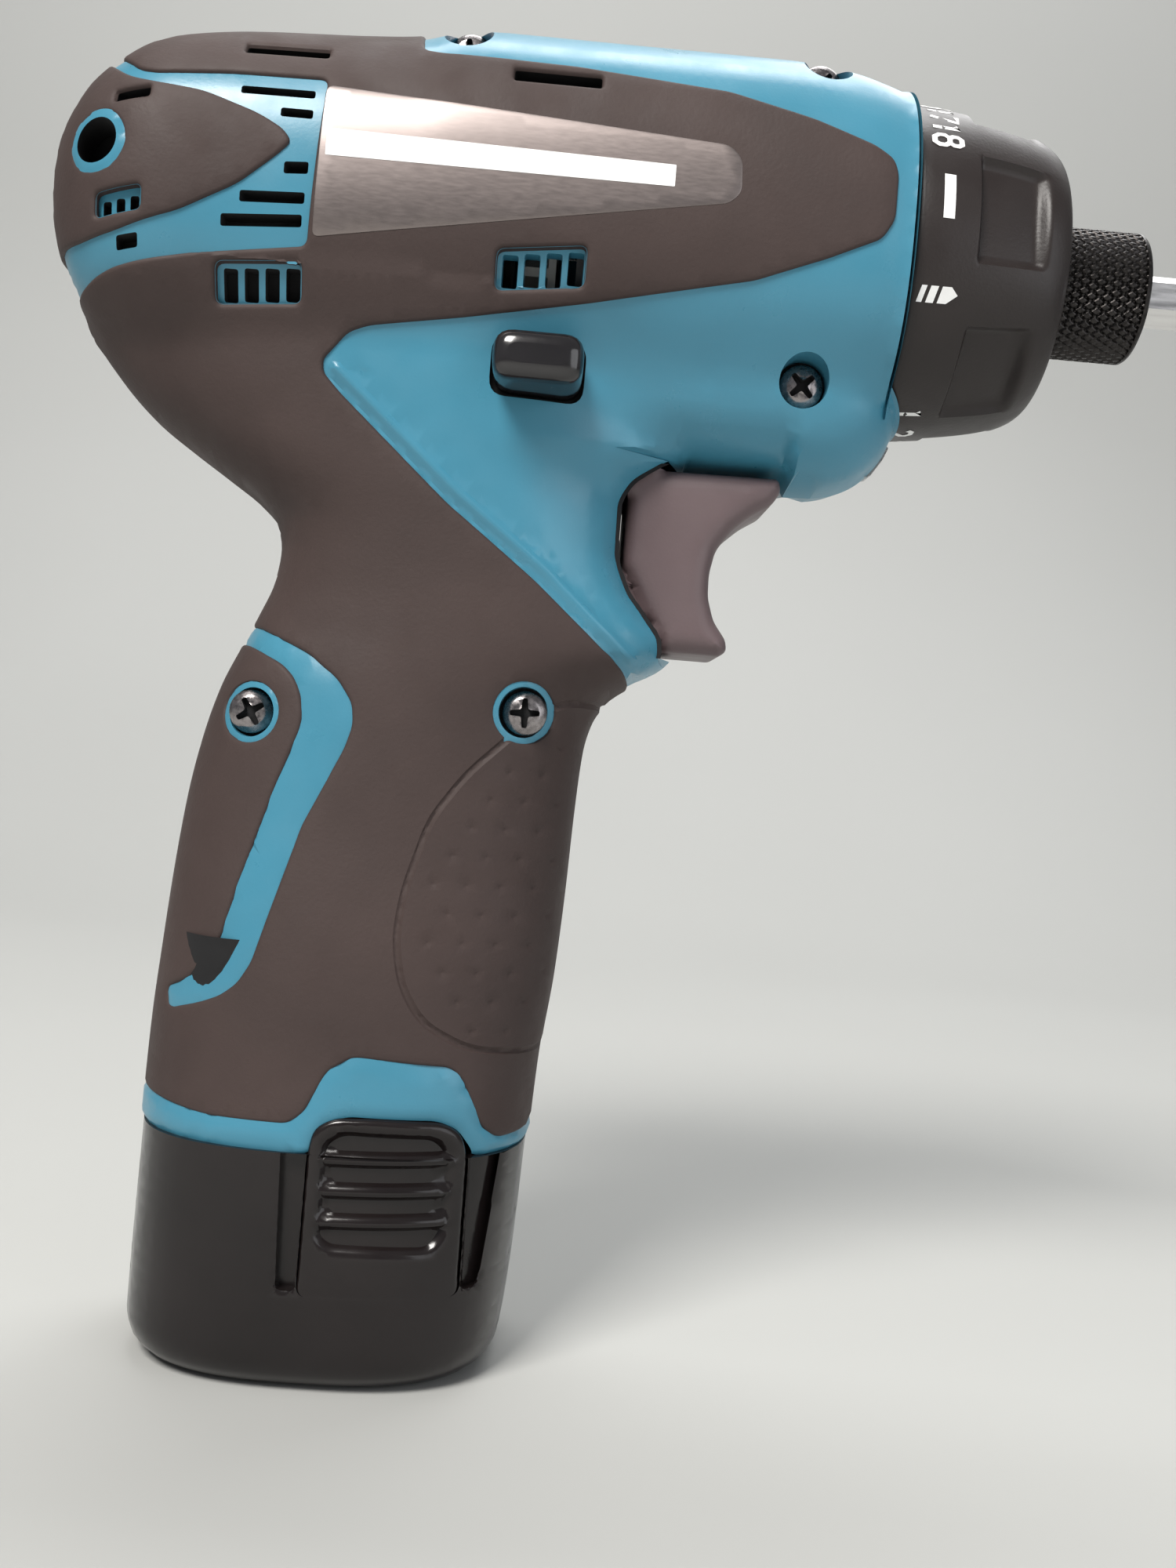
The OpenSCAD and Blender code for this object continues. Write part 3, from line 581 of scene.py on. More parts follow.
# Looks of the CAD nodes that are carried over as they are
CAD_LOOKS = {
    "output_spindle": STEEL, "driver_bit": NICKEL, "motor_can": CAN, "motor_magnets": MAGNET,
    "motor_end_bell": BELL, "motor_bearings": STEEL, "carbon_brushes": CARBON, "gear_case": NYLON,
    "gear_case_plate": NYLON, "ring_gear_1": STEEL, "ring_gear_2": STEEL, "ring_gear_3": STEEL,
    "clutch_pins": STEEL, "clutch_washer": STEEL, "clutch_spring": SPRING, "clutch_nut": NYLON,
    "spindle_bearing": BRONZE, "switch_body": SWITCH, "terminal_block": SWITCH, "lead_wires": WIRE,
    "led_lens": lens_material(), "led_board": BOARD, "trigger_spring": SPRING, "motor_shaft": STEEL,
    "rotor_core": CAN, "rotor_windings": COPPER, "commutator": COPPER, "cooling_fan": FAN,
    "motor_pinion": STEEL, "carrier_1": STEEL, "carrier_2": STEEL, "retaining_ring": SPRING,
    "sleeve_spring": SPRING, "chuck_balls": NICKEL, "shift_fork": SPRING, "battery_cells": CELL,
    "battery_terminals": BRASS, "speed_lever": LEVER}
for stage in "123":
    for place in "abc":
        CAD_LOOKS[f"planet_{stage}{place}"] = STEEL
for node, look in CAD_LOOKS.items():
    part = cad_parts[node]
    part.data.materials.clear()
    part.data.materials.append(look)

# ---------------------------------------------------------------------------
# Housing: outlines of the elastomer, the teal and what is let into them
# ---------------------------------------------------------------------------
PAST = 30.0      # how far an outline runs past the silhouette
cover_outline = softened([
    (-PAST, -16.4), (4, -16), (9, -15.5), (14.1, -14.1), (24.6, -12.1), (38.9, -10.2), (39.9, 11),
    (28, 10.8), (18.6, 10.1), (16.2, 10.6), (13.4, 12.9), (9.9, 16.8), (4, 24), (4, 60), (46, 60),
    (50, 25), (51.2, 17.4), (54, 16.7), (71, 16.3), (90.2, 14.6), (101.2, 11.7), (109, 8.9), (111.4, 7.4),
    (112.1, 5.6), (112.1, -0.4), (110.6, -3), (104, -6), (95.1, -9.4), (85.1, -11.5), (75, -13.6),
    (58.7, -16.7), (47, -18.6), (44.4, -19.6), (41.5, -23), (41.6, -24.6), (43.8, -26.9), (58.6, -39.7),
    (70.9, -48.6), (81.6, -57.6), (84.5, -60.6), (92, -68), (120, -68), (120, -121.3), (71.5, -121.3),
    (69.5, -119.6), (66.7, -113.4), (64.9, -111.6), (52.6, -110.8), (49.6, -112.7), (47, -118.2),
    (45, -119.7), (34.4, -119.8), (24.7, -118.9), (-PAST, -117)], 1.0)
oval_outline = softened([
    (-PAST, -9.6), (3, -10.6), (9.6, -11.1), (14.7, -10.2), (23, -7.4), (30.1, -3.6), (34.6, 0.3),
    (36.4, 2.2), (35.2, 3.8), (32.1, 5.5), (24.9, 8), (18.4, 8.8), (15, 9.7), (12.3, 11.9), (8.6, 16),
    (3, 22.4), (-PAST, 22.4)], 1.6)
stripe_outline = softened([
    (30.2, -56.2), (34.4, -57), (41.9, -60.1), (46.3, -63.3), (48.4, -66.2), (48.7, -69), (47.9, -72),
    (43.3, -82.2), (39.9, -94.4), (38.4, -100), (36.8, -102.8), (34.6, -104.6), (31.9, -105.8),
    (27.3, -107.4), (26.6, -105), (29.6, -103.4), (31.8, -101.4), (33, -100), (34, -97.7), (36, -89.5),
    (39.6, -77.2), (42, -70.2), (42.2, -68), (41.6, -65.4), (40.6, -63.4), (38.6, -61.6), (33.7, -59.4),
    (29.4, -58.4)], 1.0)
label_outline = softened([
    (39.9, 10.1), (90.6, 6.9), (92.3, 5.2), (92.5, 0.9), (91, -0.6), (39.5, -9.2)], 1.1)
pad_line = softened([
    (76, -63.6), (72, -66), (68.4, -69.4), (63.8, -74.1), (59.7, -80.2), (57.2, -89.3), (56.6, -95.3),
    (57.8, -101.4), (60.8, -106), (66.9, -109.2), (80, -110.6), (100, -111), (100, -63.6)], 2.5)
bead_line = np.array([(43.2, -23.8), (60, -38.3), (72, -47), (84.2, -57.4)])
REAR_HOLE = (11.8, 1)
rear_hole = circle(*REAR_HOLE, 2.9)
rear_rim = circle(*REAR_HOLE, 3.7)
screw_places = [(56.3, 22.0, 6.5), (103.5, 22.3, 6.5), (103.3, -19.9, 13.2), (34.9, -68.2, 12.2),
                (70.6, -65.6, 14.6)]      # x, z, depth of the floor of the hole
SCREW_HOLE, HEAD_R = 3.2, 2.9
COVER_HOLE = SCREW_HOLE + 0.75           # hole in the elastomer round a screw
GRIP_SCREWS_Z, GRIP_RIM = -60, 0.35      # below this height a screw's rim stands proud
DIMPLE_R, DIMPLE_DEPTH = 0.55, 0.26
GROOVE_HALF, GROOVE_DEPTH = 0.5, 0.3     # the groove round the grip's pad


def box_outline(x0, x1, z0, z1, lean=0.0, radius=0.35):
    """A slot or window, its front end raised by lean."""
    return softened([(x0, z0), (x1, z0 + lean), (x1, z1 + lean), (x0, z1)], radius, 0.6)


def slot_row(first, count, pitch, rise):
    """Upright slots in a row: the first as (x0, x1, z0, z1), each next one further on and higher."""
    x0, x1, z0, z1 = first
    return [box_outline(x0 + i * pitch, x1 + i * pitch, z0 + i * rise, z1 + i * rise) for i in range(count)]


window_a = box_outline(27.6, 38.4, -17.6, -12.8, 0.8, 1.0)
window_b = box_outline(62.6, 73.8, -13.2, -8.4, 1.3, 1.0)
window_c = box_outline(12.0, 18.2, -8.6, -5.6, 1.0, 0.8)
windows = [window_a, window_b, window_c]
cover_slots = [box_outline(29, 39.4, 14.4, 15.9, 0.1), box_outline(63, 74, 13.2, 15, 0),
               box_outline(13.6, 18.2, 6, 7.4, 0.6)]
fan_slots = slot_row((63.3, 65.3, -12.6, -8.7), 4, 2.75, 0.32)     # open: the fan shows through
teal_slots = slot_row((28.5, 30.3, -17.1, -13.3), 4, 2.62, 0.2)
teal_slots += slot_row((12.8, 14, -8.2, -6.4), 3, 1.9, 0.3)
teal_slots += [box_outline(29.4, 38.6, 8.1, 9.2, 0.1), box_outline(34.6, 38.6, 5.4, 6.6, 0),
               box_outline(35.6, 38.6, -1.8, -0.3, 0.2), box_outline(30.4, 38.4, -5.7, -4.3, 0.4),
               box_outline(28.2, 38.2, -8.8, -7.3, 0.7), box_outline(14.9, 17.8, -12.4, -10.7, 0.4)]
lever_slot = box_outline(62.7, 74.9, -25.5, -18.1, 0, 2.2)
WINDOW_DEPTH, SLOT_DEPTH, LEVER_DEPTH, REAR_DEPTH = 1.0, 3.0, 1.6, 6.0
WALL = 0.08          # how far the wall of a cut leans in
HUMP_EDGE = 1.6      # width of the rounded edge above the latch
BEAD_HALF, BEAD_HIGH = 0.75, 0.42        # the bead from the barrel to the trigger
RIM_PROUD = 0.5      # the rim round the grip's foot stands proud of the battery
EDGE = [0.0, 0.1, 0.24, 0.5]     # steps of a rounded edge


def soft_edge(d, radius, drop):
    """How far a rounded edge has fallen at distance d inside its outline."""
    t = 1 - unit(d / radius)
    return drop * (1 - np.sqrt(unit(1 - t * t)))


def ring_loops(outline, steps):
    """The outline moved inwards by each step, as closed loops."""
    return [(offset(outline, s) if s else outline, True) for s in steps]


def in_domain(centres):
    """True where the housing has a surface."""
    x, z = centres.T
    w = body_w(x, z)
    lip = (z < 0) & (w ** 2 + z ** 2 > LIP_R ** 2)
    return (w > 1e-3) & (z > DECK_Z) & ((x < FRONT_X) | lip)


# The opening over the latch
hump = softened([(47.4, -130), (47.9, -122.7), (49.4, -119.6), (52.4, -118.2), (63.9, -118.4),
                 (66.6, -119.6), (68.8, -122.7), (69.4, -130)], 1.2)
MOUTH_HALF, MOUTH_Z = 9.4, (-56.6, -30.5)                    # opening for the trigger
MOUTH_BACK, MOUTH_FRONT = 72, 96                             # how far its walls and its cut reach
LENS_HALF, LENS_Z, LENS_FRONT = 2.6, (-28.5, -23.9), 120     # opening for the lens in the nose
WINDOW_X, WINDOW_HALF, WINDOW_Z = (78.5, 97.5), 6.4, 25.3    # opening for the speed lever


def mouth_edge():
    """The front of the grip at the trigger opening's half width, as points (x, z)."""
    zs = np.linspace(*MOUTH_Z, 50)
    xs = np.arange(74, 95, 0.1)
    edge = []
    for z in zs:
        w = body_w(xs, np.full(len(xs), z))
        edge.append((xs[np.argmax(w < MOUTH_HALF)], z))
    return np.array(edge)


def lens_edge():
    """The front of the nose at the lens opening's half width, as points (x, z)."""
    line = nose_lines([LENS_HALF / NOSE_W])[0]
    x, z = line.T
    line = line[(x > 110) & (z > LENS_Z[0] - 1) & (z < LENS_Z[1] + 1)][::-1]
    zs = np.linspace(*LENS_Z, 12)
    return np.stack([np.interp(zs, line[:, 1], line[:, 0]), zs], 1)


def opening_loops(edge, front):
    """Lines round an opening: its back edge, and from the edge's ends to the front."""
    ends = [(np.array([edge[end], (front, edge[end, 1])]), False) for end in (0, -1)]
    return [(edge, False)] + ends


def ahead_of(edge, centres):
    """True between the ends of an opening's back edge, and in front of it."""
    x, z = centres.T
    return (z > edge[0, 1]) & (z < edge[-1, 1]) & (x > np.interp(z, edge[:, 1], edge[:, 0]))


MOUTH = mouth_edge()
LENS_EDGE = lens_edge()
SHELL_LOOPS = silhouette_loops() + opening_loops(MOUTH, MOUTH_FRONT) + opening_loops(LENS_EDGE, LENS_FRONT)
SHELL_LOOPS += [(divided([(WINDOW_X[0], 27), (WINDOW_X[0], WINDOW_Z), (WINDOW_X[1], WINDOW_Z),
                          (WINDOW_X[1], 27)], 0.9, closed=False), False)]


def in_mouth(centres):
    return ahead_of(MOUTH, centres) & (centres[:, 0] < MOUTH_FRONT)


def in_lens(centres):
    return ahead_of(LENS_EDGE, centres)


def in_window(centres):
    x, z = centres.T
    return (x > WINDOW_X[0]) & (x < WINDOW_X[1]) & (z > WINDOW_Z)


BODY_POINTS = np.concatenate([body_levels(), grid_points((0, DECK_Z), (122, 28), 1.7)])


def foot_band(flat):
    """1 on the rim round the grip's foot, with rounded edges, and 0 above it."""
    rise = unit(distance(flat, cover_outline) / 0.5) * ~inside(flat, cover_outline)
    low_edge = unit((flat[:, 1] - DECK_Z) / 0.7)
    return np.where(flat[:, 1] < -105, rise * np.sqrt(low_edge * (2 - low_edge)), 0)


def base_shell(side_screws):
    """The teal moulding of one side, with everything that is cut into it."""
    cuts = [(s, WINDOW_DEPTH) for s in windows] + [(s, SLOT_DEPTH) for s in teal_slots + fan_slots]
    cuts += [(lever_slot, LEVER_DEPTH), (rear_hole, REAR_DEPTH)]
    cuts += [(offset(s, -0.1), SLOT_DEPTH) for s in cover_slots]
    loops = list(SHELL_LOOPS)
    for cut, _ in cuts:
        loops += ring_loops(cut, [0, WALL])
    loops += ring_loops(hump, [0, -0.7, -HUMP_EDGE])
    loops += [(rear_rim, True)]
    bead = divided(bead_line, 0.8, closed=False)
    along = np.gradient(bead, axis=0)
    along /= np.linalg.norm(along, axis=1)[:, None]
    across = np.stack([-along[:, 1], along[:, 0]], 1)
    loops += [(bead + across * s, False) for s in (-2 * BEAD_HALF, -BEAD_HALF, -0.35, 0, 0.35, BEAD_HALF)]
    if side_screws:
        for x, z, _ in screw_places:
            loops += [(circle(x, z, r), True) for r in (SCREW_HOLE, SCREW_HOLE + 0.07, SCREW_HOLE + 0.55)]
    points = thinned(BODY_POINTS, loops, 0.45)

    def keep(c):
        ok = in_domain(c) & ~inside(c, hump) & ~in_mouth(c) & ~in_window(c) & ~in_lens(c)
        for slot in fan_slots:
            ok &= ~inside(c, offset(slot, WALL))
        return ok
    flat, tris = triangulate(loops, points, keep)
    height = np.full(len(flat), -TEAL_DROP)
    d = distance(flat, bead, closed=False)
    height += BEAD_HIGH * unit(1 - (d / BEAD_HALF) ** 2)
    height -= 0.28 * unit(1 - np.abs(d - 2 * BEAD_HALF) / 0.7)
    height[inside(flat, circle(*REAR_HOLE, 3.75))] += 0.55
    height[inside(flat, stripe_outline)] += 0.25
    height -= 0.5 * unit(1 - distance(flat, hump) / HUMP_EDGE) ** 2
    sink = np.zeros(len(flat))
    centres = flat[tris].mean(1)
    # Faces inside each cut take index 1, the near-black painted shade; the windows' walls take index 2, the
    # elastomer, and their floors and the open fan slots stay teal.
    picks = np.zeros(len(tris), int)
    for cut, depth in cuts:
        sink[inside(flat, offset(cut, WALL / 2))] = depth
        picks[inside(centres, cut)] = 1
        if depth == WINDOW_DEPTH:
            picks[inside(centres, cut)] = 2
            picks[inside(centres, offset(cut, WALL))] = 0
    for slot in fan_slots:
        picks[inside(centres, slot)] = 0
    height += RIM_PROUD * foot_band(flat)
    verts = lifted(flat, body_w, height, sink)
    if side_screws:
        for x, z, floor in screw_places:
            r = away(flat, x, z)
            verts[r < SCREW_HOLE + 0.03, 1] = -floor
            rimmed = (r >= SCREW_HOLE + 0.03) & (r < SCREW_HOLE + 0.6)
            if z < GRIP_SCREWS_Z:
                verts[rimmed, 1] -= GRIP_RIM
            # the floor of each screw hole is near-black painted shade
            picks[away(centres, x, z) < SCREW_HOLE - 0.1] = 1
    return verts, tris, picks


def dimple_places(pad):
    """Staggered rows of small dimples inside the pad."""
    spots = grid_points((58.5, -107), (78, -68), 4.3)
    clear = inside(spots, pad) & (distance(spots, pad) > 1.6)
    x, z, _ = screw_places[-1]
    clear &= (body_w(spots[:, 0], spots[:, 1]) > 9) & (away(spots, x, z) > 6)
    return spots[clear]


def cover_mesh(outline, holes, side_screws, pad):
    """One elastomer moulding, with rounded edges and its own openings."""
    loops = list(SHELL_LOOPS) + ring_loops(outline, EDGE)
    for hole in holes:
        loops += ring_loops(hole, [0, -0.12, -0.3, -0.6])
    if side_screws:
        for x, z, _ in screw_places:
            loops += [(circle(x, z, COVER_HOLE + s), True) for s in (0, 0.15, 0.45)]
    dimples = []
    if pad is not None:
        loops += ring_loops(pad, [-GROOVE_HALF, -0.25, 0, 0.25, GROOVE_HALF])
        dimples = dimple_places(pad)
        loops += [(circle(x, z, r, 10), True) for x, z in dimples for r in (0.2, DIMPLE_R)]
    points = thinned(BODY_POINTS, loops, 0.4)
    screws = [(x, z) for x, z, _ in screw_places] if side_screws else []

    def keep(c):
        ok = in_domain(c) & inside(c, outline) & ~in_mouth(c)
        for hole in holes:
            ok &= ~inside(c, hole)
        for x, z in screws:
            ok &= away(c, x, z) > COVER_HOLE
        return ok
    flat, tris = triangulate(loops, points, keep)
    height = -soft_edge(distance(flat, outline), EDGE[-1], TEAL_DROP + 0.15)
    for hole in holes:
        height -= soft_edge(distance(flat, hole), 0.6, TEAL_DROP + 0.15)
    for x, z in screws:
        height -= soft_edge(away(flat, x, z) - COVER_HOLE, 0.45, TEAL_DROP)
    if pad is not None:
        height -= GROOVE_DEPTH * unit(1 - (distance(flat, pad) / GROOVE_HALF) ** 2)
        height += np.where(inside(flat, pad), 0.12, 0)
        for x, z in dimples:
            height -= DIMPLE_DEPTH * unit(1 - away(flat, x, z) / DIMPLE_R)
    return lifted(flat, body_w, height), tris, None


def both_sides(name, build, slot, material, extra=()):
    """A right-hand and a left-hand piece from one builder. The screws are on the right."""
    pieces = []
    for side in SIDES:
        verts, tris, picks = build(side == "right")
        if side == "left":
            verts, tris = mirrored(verts, tris)
        pieces.append(make_piece(f"{name}_{side}", verts, tris, "tool", slot, material,
                                 extra=extra, picks=picks))
    return pieces


def main_cover(side_screws):
    holes = [stripe_outline, window_a, window_b] + cover_slots[:2]
    return cover_mesh(cover_outline, holes, side_screws, pad_line)


def rear_cover(_):
    return cover_mesh(oval_outline, [rear_rim, window_c] + cover_slots[2:], False, None)


shells = both_sides("shell", base_shell, "teal_shell", TEAL, (PAINTED_SHADE, SOFT))
covers = both_sides("grip_cover", main_cover, "elastomer", SOFT)
for side, shell, cover in zip(SIDES, shells, covers):
    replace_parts(shell, f"housing_{side}")
    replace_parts(cover, f"cover_{side}")
both_sides("rear_cover", rear_cover, "elastomer", SOFT)


# ---------------------------------------------------------------------------
# Label, screws, direction lever
# ---------------------------------------------------------------------------
LABEL_EDGE = 0.35        # width of the label's rounded edge
bar_outline = softened([(40.6, 4.2), (84, 3.6), (84, 0.9), (40.6, 0.8)], 0.15)


def patch(outline, steps, height_at):
    """A piece of surface inside an outline, its height given by the distance from the edge."""
    loops = ring_loops(outline, steps)
    points = thinned(grid_points(outline.min(0), outline.max(0), 1.5), loops, 0.35)
    flat, tris = triangulate(loops, points, lambda c: inside(c, outline))
    return lifted(flat, body_w, height_at(distance(flat, outline))), tris, None


def label_plate(_):
    return patch(label_outline, [0, 0.12, LABEL_EDGE], lambda d: 0.1 - soft_edge(d, LABEL_EDGE, 0.25))


def label_bar(_):
    return patch(bar_outline, [0, 0.2], lambda d: 0.13)


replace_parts(both_sides("label", label_plate, "label", LABEL)[0], "label_plates")
both_sides("label_bar", label_bar, "label", WHITE)


def screw_head(x, z, depth):
    """A pan head with a cross recess, seen from the tool's right."""
    arm, half = 1.95, 0.48
    cross = softened([(half, half), (arm, half * 0.7), (arm, -half * 0.7), (half, -half), (half * 0.7, -arm),
                      (-half * 0.7, -arm), (-half, -half), (-arm, -half * 0.7), (-arm, half * 0.7),
                      (-half, half), (-half * 0.7, arm), (half * 0.7, arm)], 0.25, 0.25)
    loops = ring_loops(cross, [0, 0.12])
    loops += [(circle(0, 0, r, 48), True) for r in (0.6, 1.95, 2.2, 2.5, 2.72, 2.86, HEAD_R)]
    flat, tris = triangulate(loops, circle(0, 0, 1.2, 9), lambda c: np.hypot(*c.T) < HEAD_R)
    r = np.hypot(*flat.T)
    crown = -2.0 + 0.9 * (r / HEAD_R) ** 4
    y = crown + np.where(r > HEAD_R - 0.02, 0.9, 0) + 0.08 * np.cos(r * 5) * (r < 2.2)
    y = np.where(inside(flat, offset(cross, 0.06)), -0.75 - 0.1 * (1.8 - r), y)
    turn = math.radians((x * 37) % 90)
    u = flat[:, 0] * math.cos(turn) - flat[:, 1] * math.sin(turn)
    v = flat[:, 0] * math.sin(turn) + flat[:, 1] * math.cos(turn)
    # The faces of the cross recess take the second material, near-black painted shade.
    return np.stack([x + u, y - depth, z + v], 1), tris, inside(flat[tris].mean(1), cross)


def merged(parts):
    """One mesh from several."""
    verts, faces, start = [], [], 0
    for v, f in parts:
        verts.append(v)
        faces += [tuple(int(i) + start for i in face) for face in f]
        start += len(v)
    return np.concatenate(verts), faces


head_parts = [screw_head(*place) for place in screw_places]
heads = make_piece("screw_heads", *merged([part[:2] for part in head_parts]), "tool", "dark_screw", SCREW,
                   sharp=40, extra=(PAINTED_SHADE,), picks=np.concatenate([part[2] for part in head_parts]))
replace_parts(heads, "housing_screws")


def rounded_bar(outline, y_from, y_to, radius, steps=5):
    """A bar along y with a side outline, rounded at both ends."""
    turns = np.linspace(0, math.pi / 2, steps)
    # each ring of a rounded end, as (how far short of the end, inset)
    ends = [(radius * (1 - math.sin(a)), radius * (1 - math.cos(a))) for a in turns]
    rings = [(y_from + short, inset) for short, inset in reversed(ends)]
    rings += [(y_to - short, inset) for short, inset in ends]
    count = len(outline)
    middle_x, middle_z = (outline.max(0) + outline.min(0)) / 2
    half_x, half_z = (outline.max(0) - outline.min(0)) / 2
    verts = []
    for y, inset in rings:
        sx, sz = (half_x - inset) / half_x, (half_z - inset) / half_z
        verts += [(middle_x + (x - middle_x) * sx, y, middle_z + (z - middle_z) * sz) for x, z in outline]
    faces = quads(len(rings), count) + [tuple(range(count))]
    faces.append(tuple((len(rings) - 1) * count + i for i in reversed(range(count))))
    return np.array(verts), faces


lever_low, lever_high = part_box("direction_lever")
lever_y0, lever_y1 = lever_low.y / MM, lever_high.y / MM
lever = make_piece("lever_bar", *rounded_bar(box_outline(63.1, 74.5, -24.9, -18.6, 0, 2.6),
                                             lever_y0, lever_y1, 1.9),
                   "direction_lever", "lever_plastic", LEVER, sharp=50)
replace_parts(lever, "direction_lever")


# ---------------------------------------------------------------------------
# Turned pieces: rings of points round the spindle axis
# ---------------------------------------------------------------------------
def turned_grid(profile, count, radius_at=None):
    """A surface round the spindle axis. Angles run from the top towards the tool's right."""
    verts = []
    for x, r in profile:
        for i in range(count):
            a = 2 * math.pi * i / count
            radius = radius_at(x, r, a) if radius_at else r
            verts.append((x, -radius * math.sin(a), radius * math.cos(a)))
    return np.array(verts), quads(len(profile), count)


RING_BACK, RING_FRONT = 115.3, 136.8
ring_side = curve([(RING_BACK, 22.4), (117.5, 22.4), (121.5, 22.05), (126, 21.4), (130, 20.6), (133, 19.7),
                   (134.6, 19), (135.9, 18.1), (136.6, 17.2), (RING_FRONT, 16.6)])
SCALLOP_X = (123.2, 133.4)
SCALLOP_HALF = math.radians(19.5)
SCALLOP_MID = math.radians(21)


def smooth(t):
    t = min(1.0, max(0.0, t))
    return t * t * (3 - 2 * t)


def ring_radius(x, r, a):
    """The clutch ring's radius: six shallow finger scallops with crisp borders."""
    turn = (a - SCALLOP_MID + math.pi / 6) % (math.pi / 3) - math.pi / 6
    side = smooth((SCALLOP_HALF - abs(turn)) * 20 / 0.55)
    back = smooth((x - SCALLOP_X[0]) / 0.6)
    front = smooth((SCALLOP_X[1] - x) / 2.4)
    hollow = 1 - 0.45 * (turn / SCALLOP_HALF) ** 2
    return r - 1.75 * side * back * front * hollow



def ring_profile():
    """The clutch ring from its hidden back, over its side, to its front."""
    # closer together where the ring turns and where its scallops begin and end
    xs = [RING_BACK, 115.35, 115.5, 115.9, 117, 118.5, 120, 121.5, 122.8, 123.2, 123.35, 123.5, 123.65,
          123.8, 124.2]
    xs += list(np.arange(125, 131, 0.8))
    xs += [131.2, 131.6, 132, 132.4, 132.8, 133.2, 133.5, 134, 134.5, 135, 135.4, 135.8, 136.1, 136.4,
           136.6, 136.75, RING_FRONT]
    profile = [(115.9, 17.5), (RING_BACK, 20), (RING_BACK, 21.9), (RING_BACK, 22.2)]
    profile += [(x, float(ring_side(x)) - 0.2 * max(0, 1 - (x - RING_BACK) / 0.35)) for x in xs]
    return profile + [(RING_FRONT, 15.5), (136.6, 12.2), (136.2, 11.8), (134, 11.6)]


ring_piece = make_piece("clutch_dial", *turned_grid(ring_profile(), 300, ring_radius), "clutch_ring",
                        "ring_plastic", RING, sharp=38)
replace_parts(ring_piece, "torque_ring")


def on_ring(points, lift=0.06):
    """Flat marks (angle in degrees, x) laid on the clutch ring."""
    out = []
    for angle, x in points:
        r = float(ring_side(x)) + lift
        a = math.radians(angle)
        out.append((x, -r * math.sin(a), r * math.cos(a)))
    return np.array(out)


STROKES = {   # strokes of each digit on a 4 by 6 grid
    "0": [[(1, 0), (0, 1), (0, 5), (1, 6), (3, 6), (4, 5), (4, 1), (3, 0), (1, 0)]],
    "1": [[(1, 5), (2.2, 6), (2.2, 0)]],
    "2": [[(0, 5), (1, 6), (3, 6), (4, 5), (4, 4), (0, 0), (4, 0)]],
    "3": [[(0, 5), (1, 6), (3, 6), (4, 5), (4, 4), (3, 3.2), (1.6, 3.2)],
          [(3, 3.2), (4, 2.2), (4, 1), (3, 0), (1, 0), (0, 1)]],
    "4": [[(3, 0), (3, 6), (0, 2), (4, 2)]],
    "5": [[(4, 6), (0.4, 6), (0.2, 3.4), (3, 3.6), (4, 2.6), (4, 1), (3, 0), (1, 0), (0, 1)]],
    "6": [[(3.6, 6), (1.4, 5), (0, 2.8), (0, 1), (1, 0), (3, 0), (4, 1), (4, 2.4), (3, 3.4), (1, 3.4),
           (0, 2.4)]],
    "7": [[(0, 6), (4, 6), (1.6, 0)]],
    "8": [[(1, 3.3), (0.2, 4.2), (0.2, 5.2), (1, 6), (3, 6), (3.8, 5.2), (3.8, 4.2), (3, 3.3), (1, 3.3),
           (0, 2.3), (0, 1), (1, 0), (3, 0), (4, 1), (4, 2.3), (3, 3.3)]],
    "9": [[(0.4, 0), (2.6, 1), (4, 3.2), (4, 5), (3, 6), (1, 6), (0, 5), (0, 3.6), (1, 2.6), (3, 2.6),
           (4, 3.6)]]}
DIGIT_WIDE, DIGIT_TALL, STROKE_WIDE = 2.0, 3.6, 0.75
DEG_PER_MM = math.degrees(1 / 22.2)


def stroke_strip(points, width):
    """A flat band along a line of points."""
    p = np.array(points, float)
    along = np.gradient(p, axis=0)
    along /= np.maximum(np.linalg.norm(along, axis=1), 1e-9)[:, None]
    across = np.stack([-along[:, 1], along[:, 0]], 1) * width / 2
    verts = np.concatenate([p + across, p - across])
    n = len(p)
    return verts, [(i, i + 1, n + i + 1, n + i) for i in range(n - 1)]


def digits(number, middle_angle, low_x):
    """The strokes of a number: read along the ring, upright towards the nose."""
    text = str(number)
    parts = []
    pitch = DIGIT_WIDE + 1.0
    for k, char in enumerate(text):
        shift = (k - (len(text) - 1) / 2) * pitch - DIGIT_WIDE / 2
        for line in STROKES[char]:
            line = [(px * DIGIT_WIDE / 4, pz * DIGIT_TALL / 6) for px, pz in line]
            v, f = stroke_strip(line, STROKE_WIDE)
            places = [(middle_angle + (u + shift) * DEG_PER_MM, low_x + t) for u, t in v]
            parts.append((on_ring(places), f))
    return parts


FIRST_NUMBER, NUMBER_STEP = 158, 15      # degrees round the ring
marks = []
for number in range(1, 19):
    marks += digits(number, FIRST_NUMBER + NUMBER_STEP * (number - 1), 117.2)
bar_angles = np.linspace(72, 87.5, 9)
marks.append((on_ring([(a, 118.3) for a in bar_angles] + [(a, 119.8) for a in bar_angles]),
              [(i, i + 1, 10 + i, 9 + i) for i in range(8)]))
for x0, x1, pointed in ((116.6, 117.3, False), (117.8, 118.8, False), (119.3, 121.4, True)):
    corners = [(109, x0), (114.4, x0 - 0.5), (114.4, x1 - 0.5), (109, x1)]
    if pointed:
        corners = [(109, x0), (114.4, x0 - 0.5), (114.4, x0 + 0.7), (111.6, x1), (109, x0 + 1.2)]
    marks.append((on_ring(corners), [tuple(range(len(corners)))]))
make_piece("dial_marks", *merged(marks), "clutch_ring", "ring_plastic", WHITE)

SLEEVE_X0, SLEEVE_X1, SLEEVE_R = 137.2, 150.9, 8.9
KNURL_COUNT, KNURL_PITCH = 42, 1.1


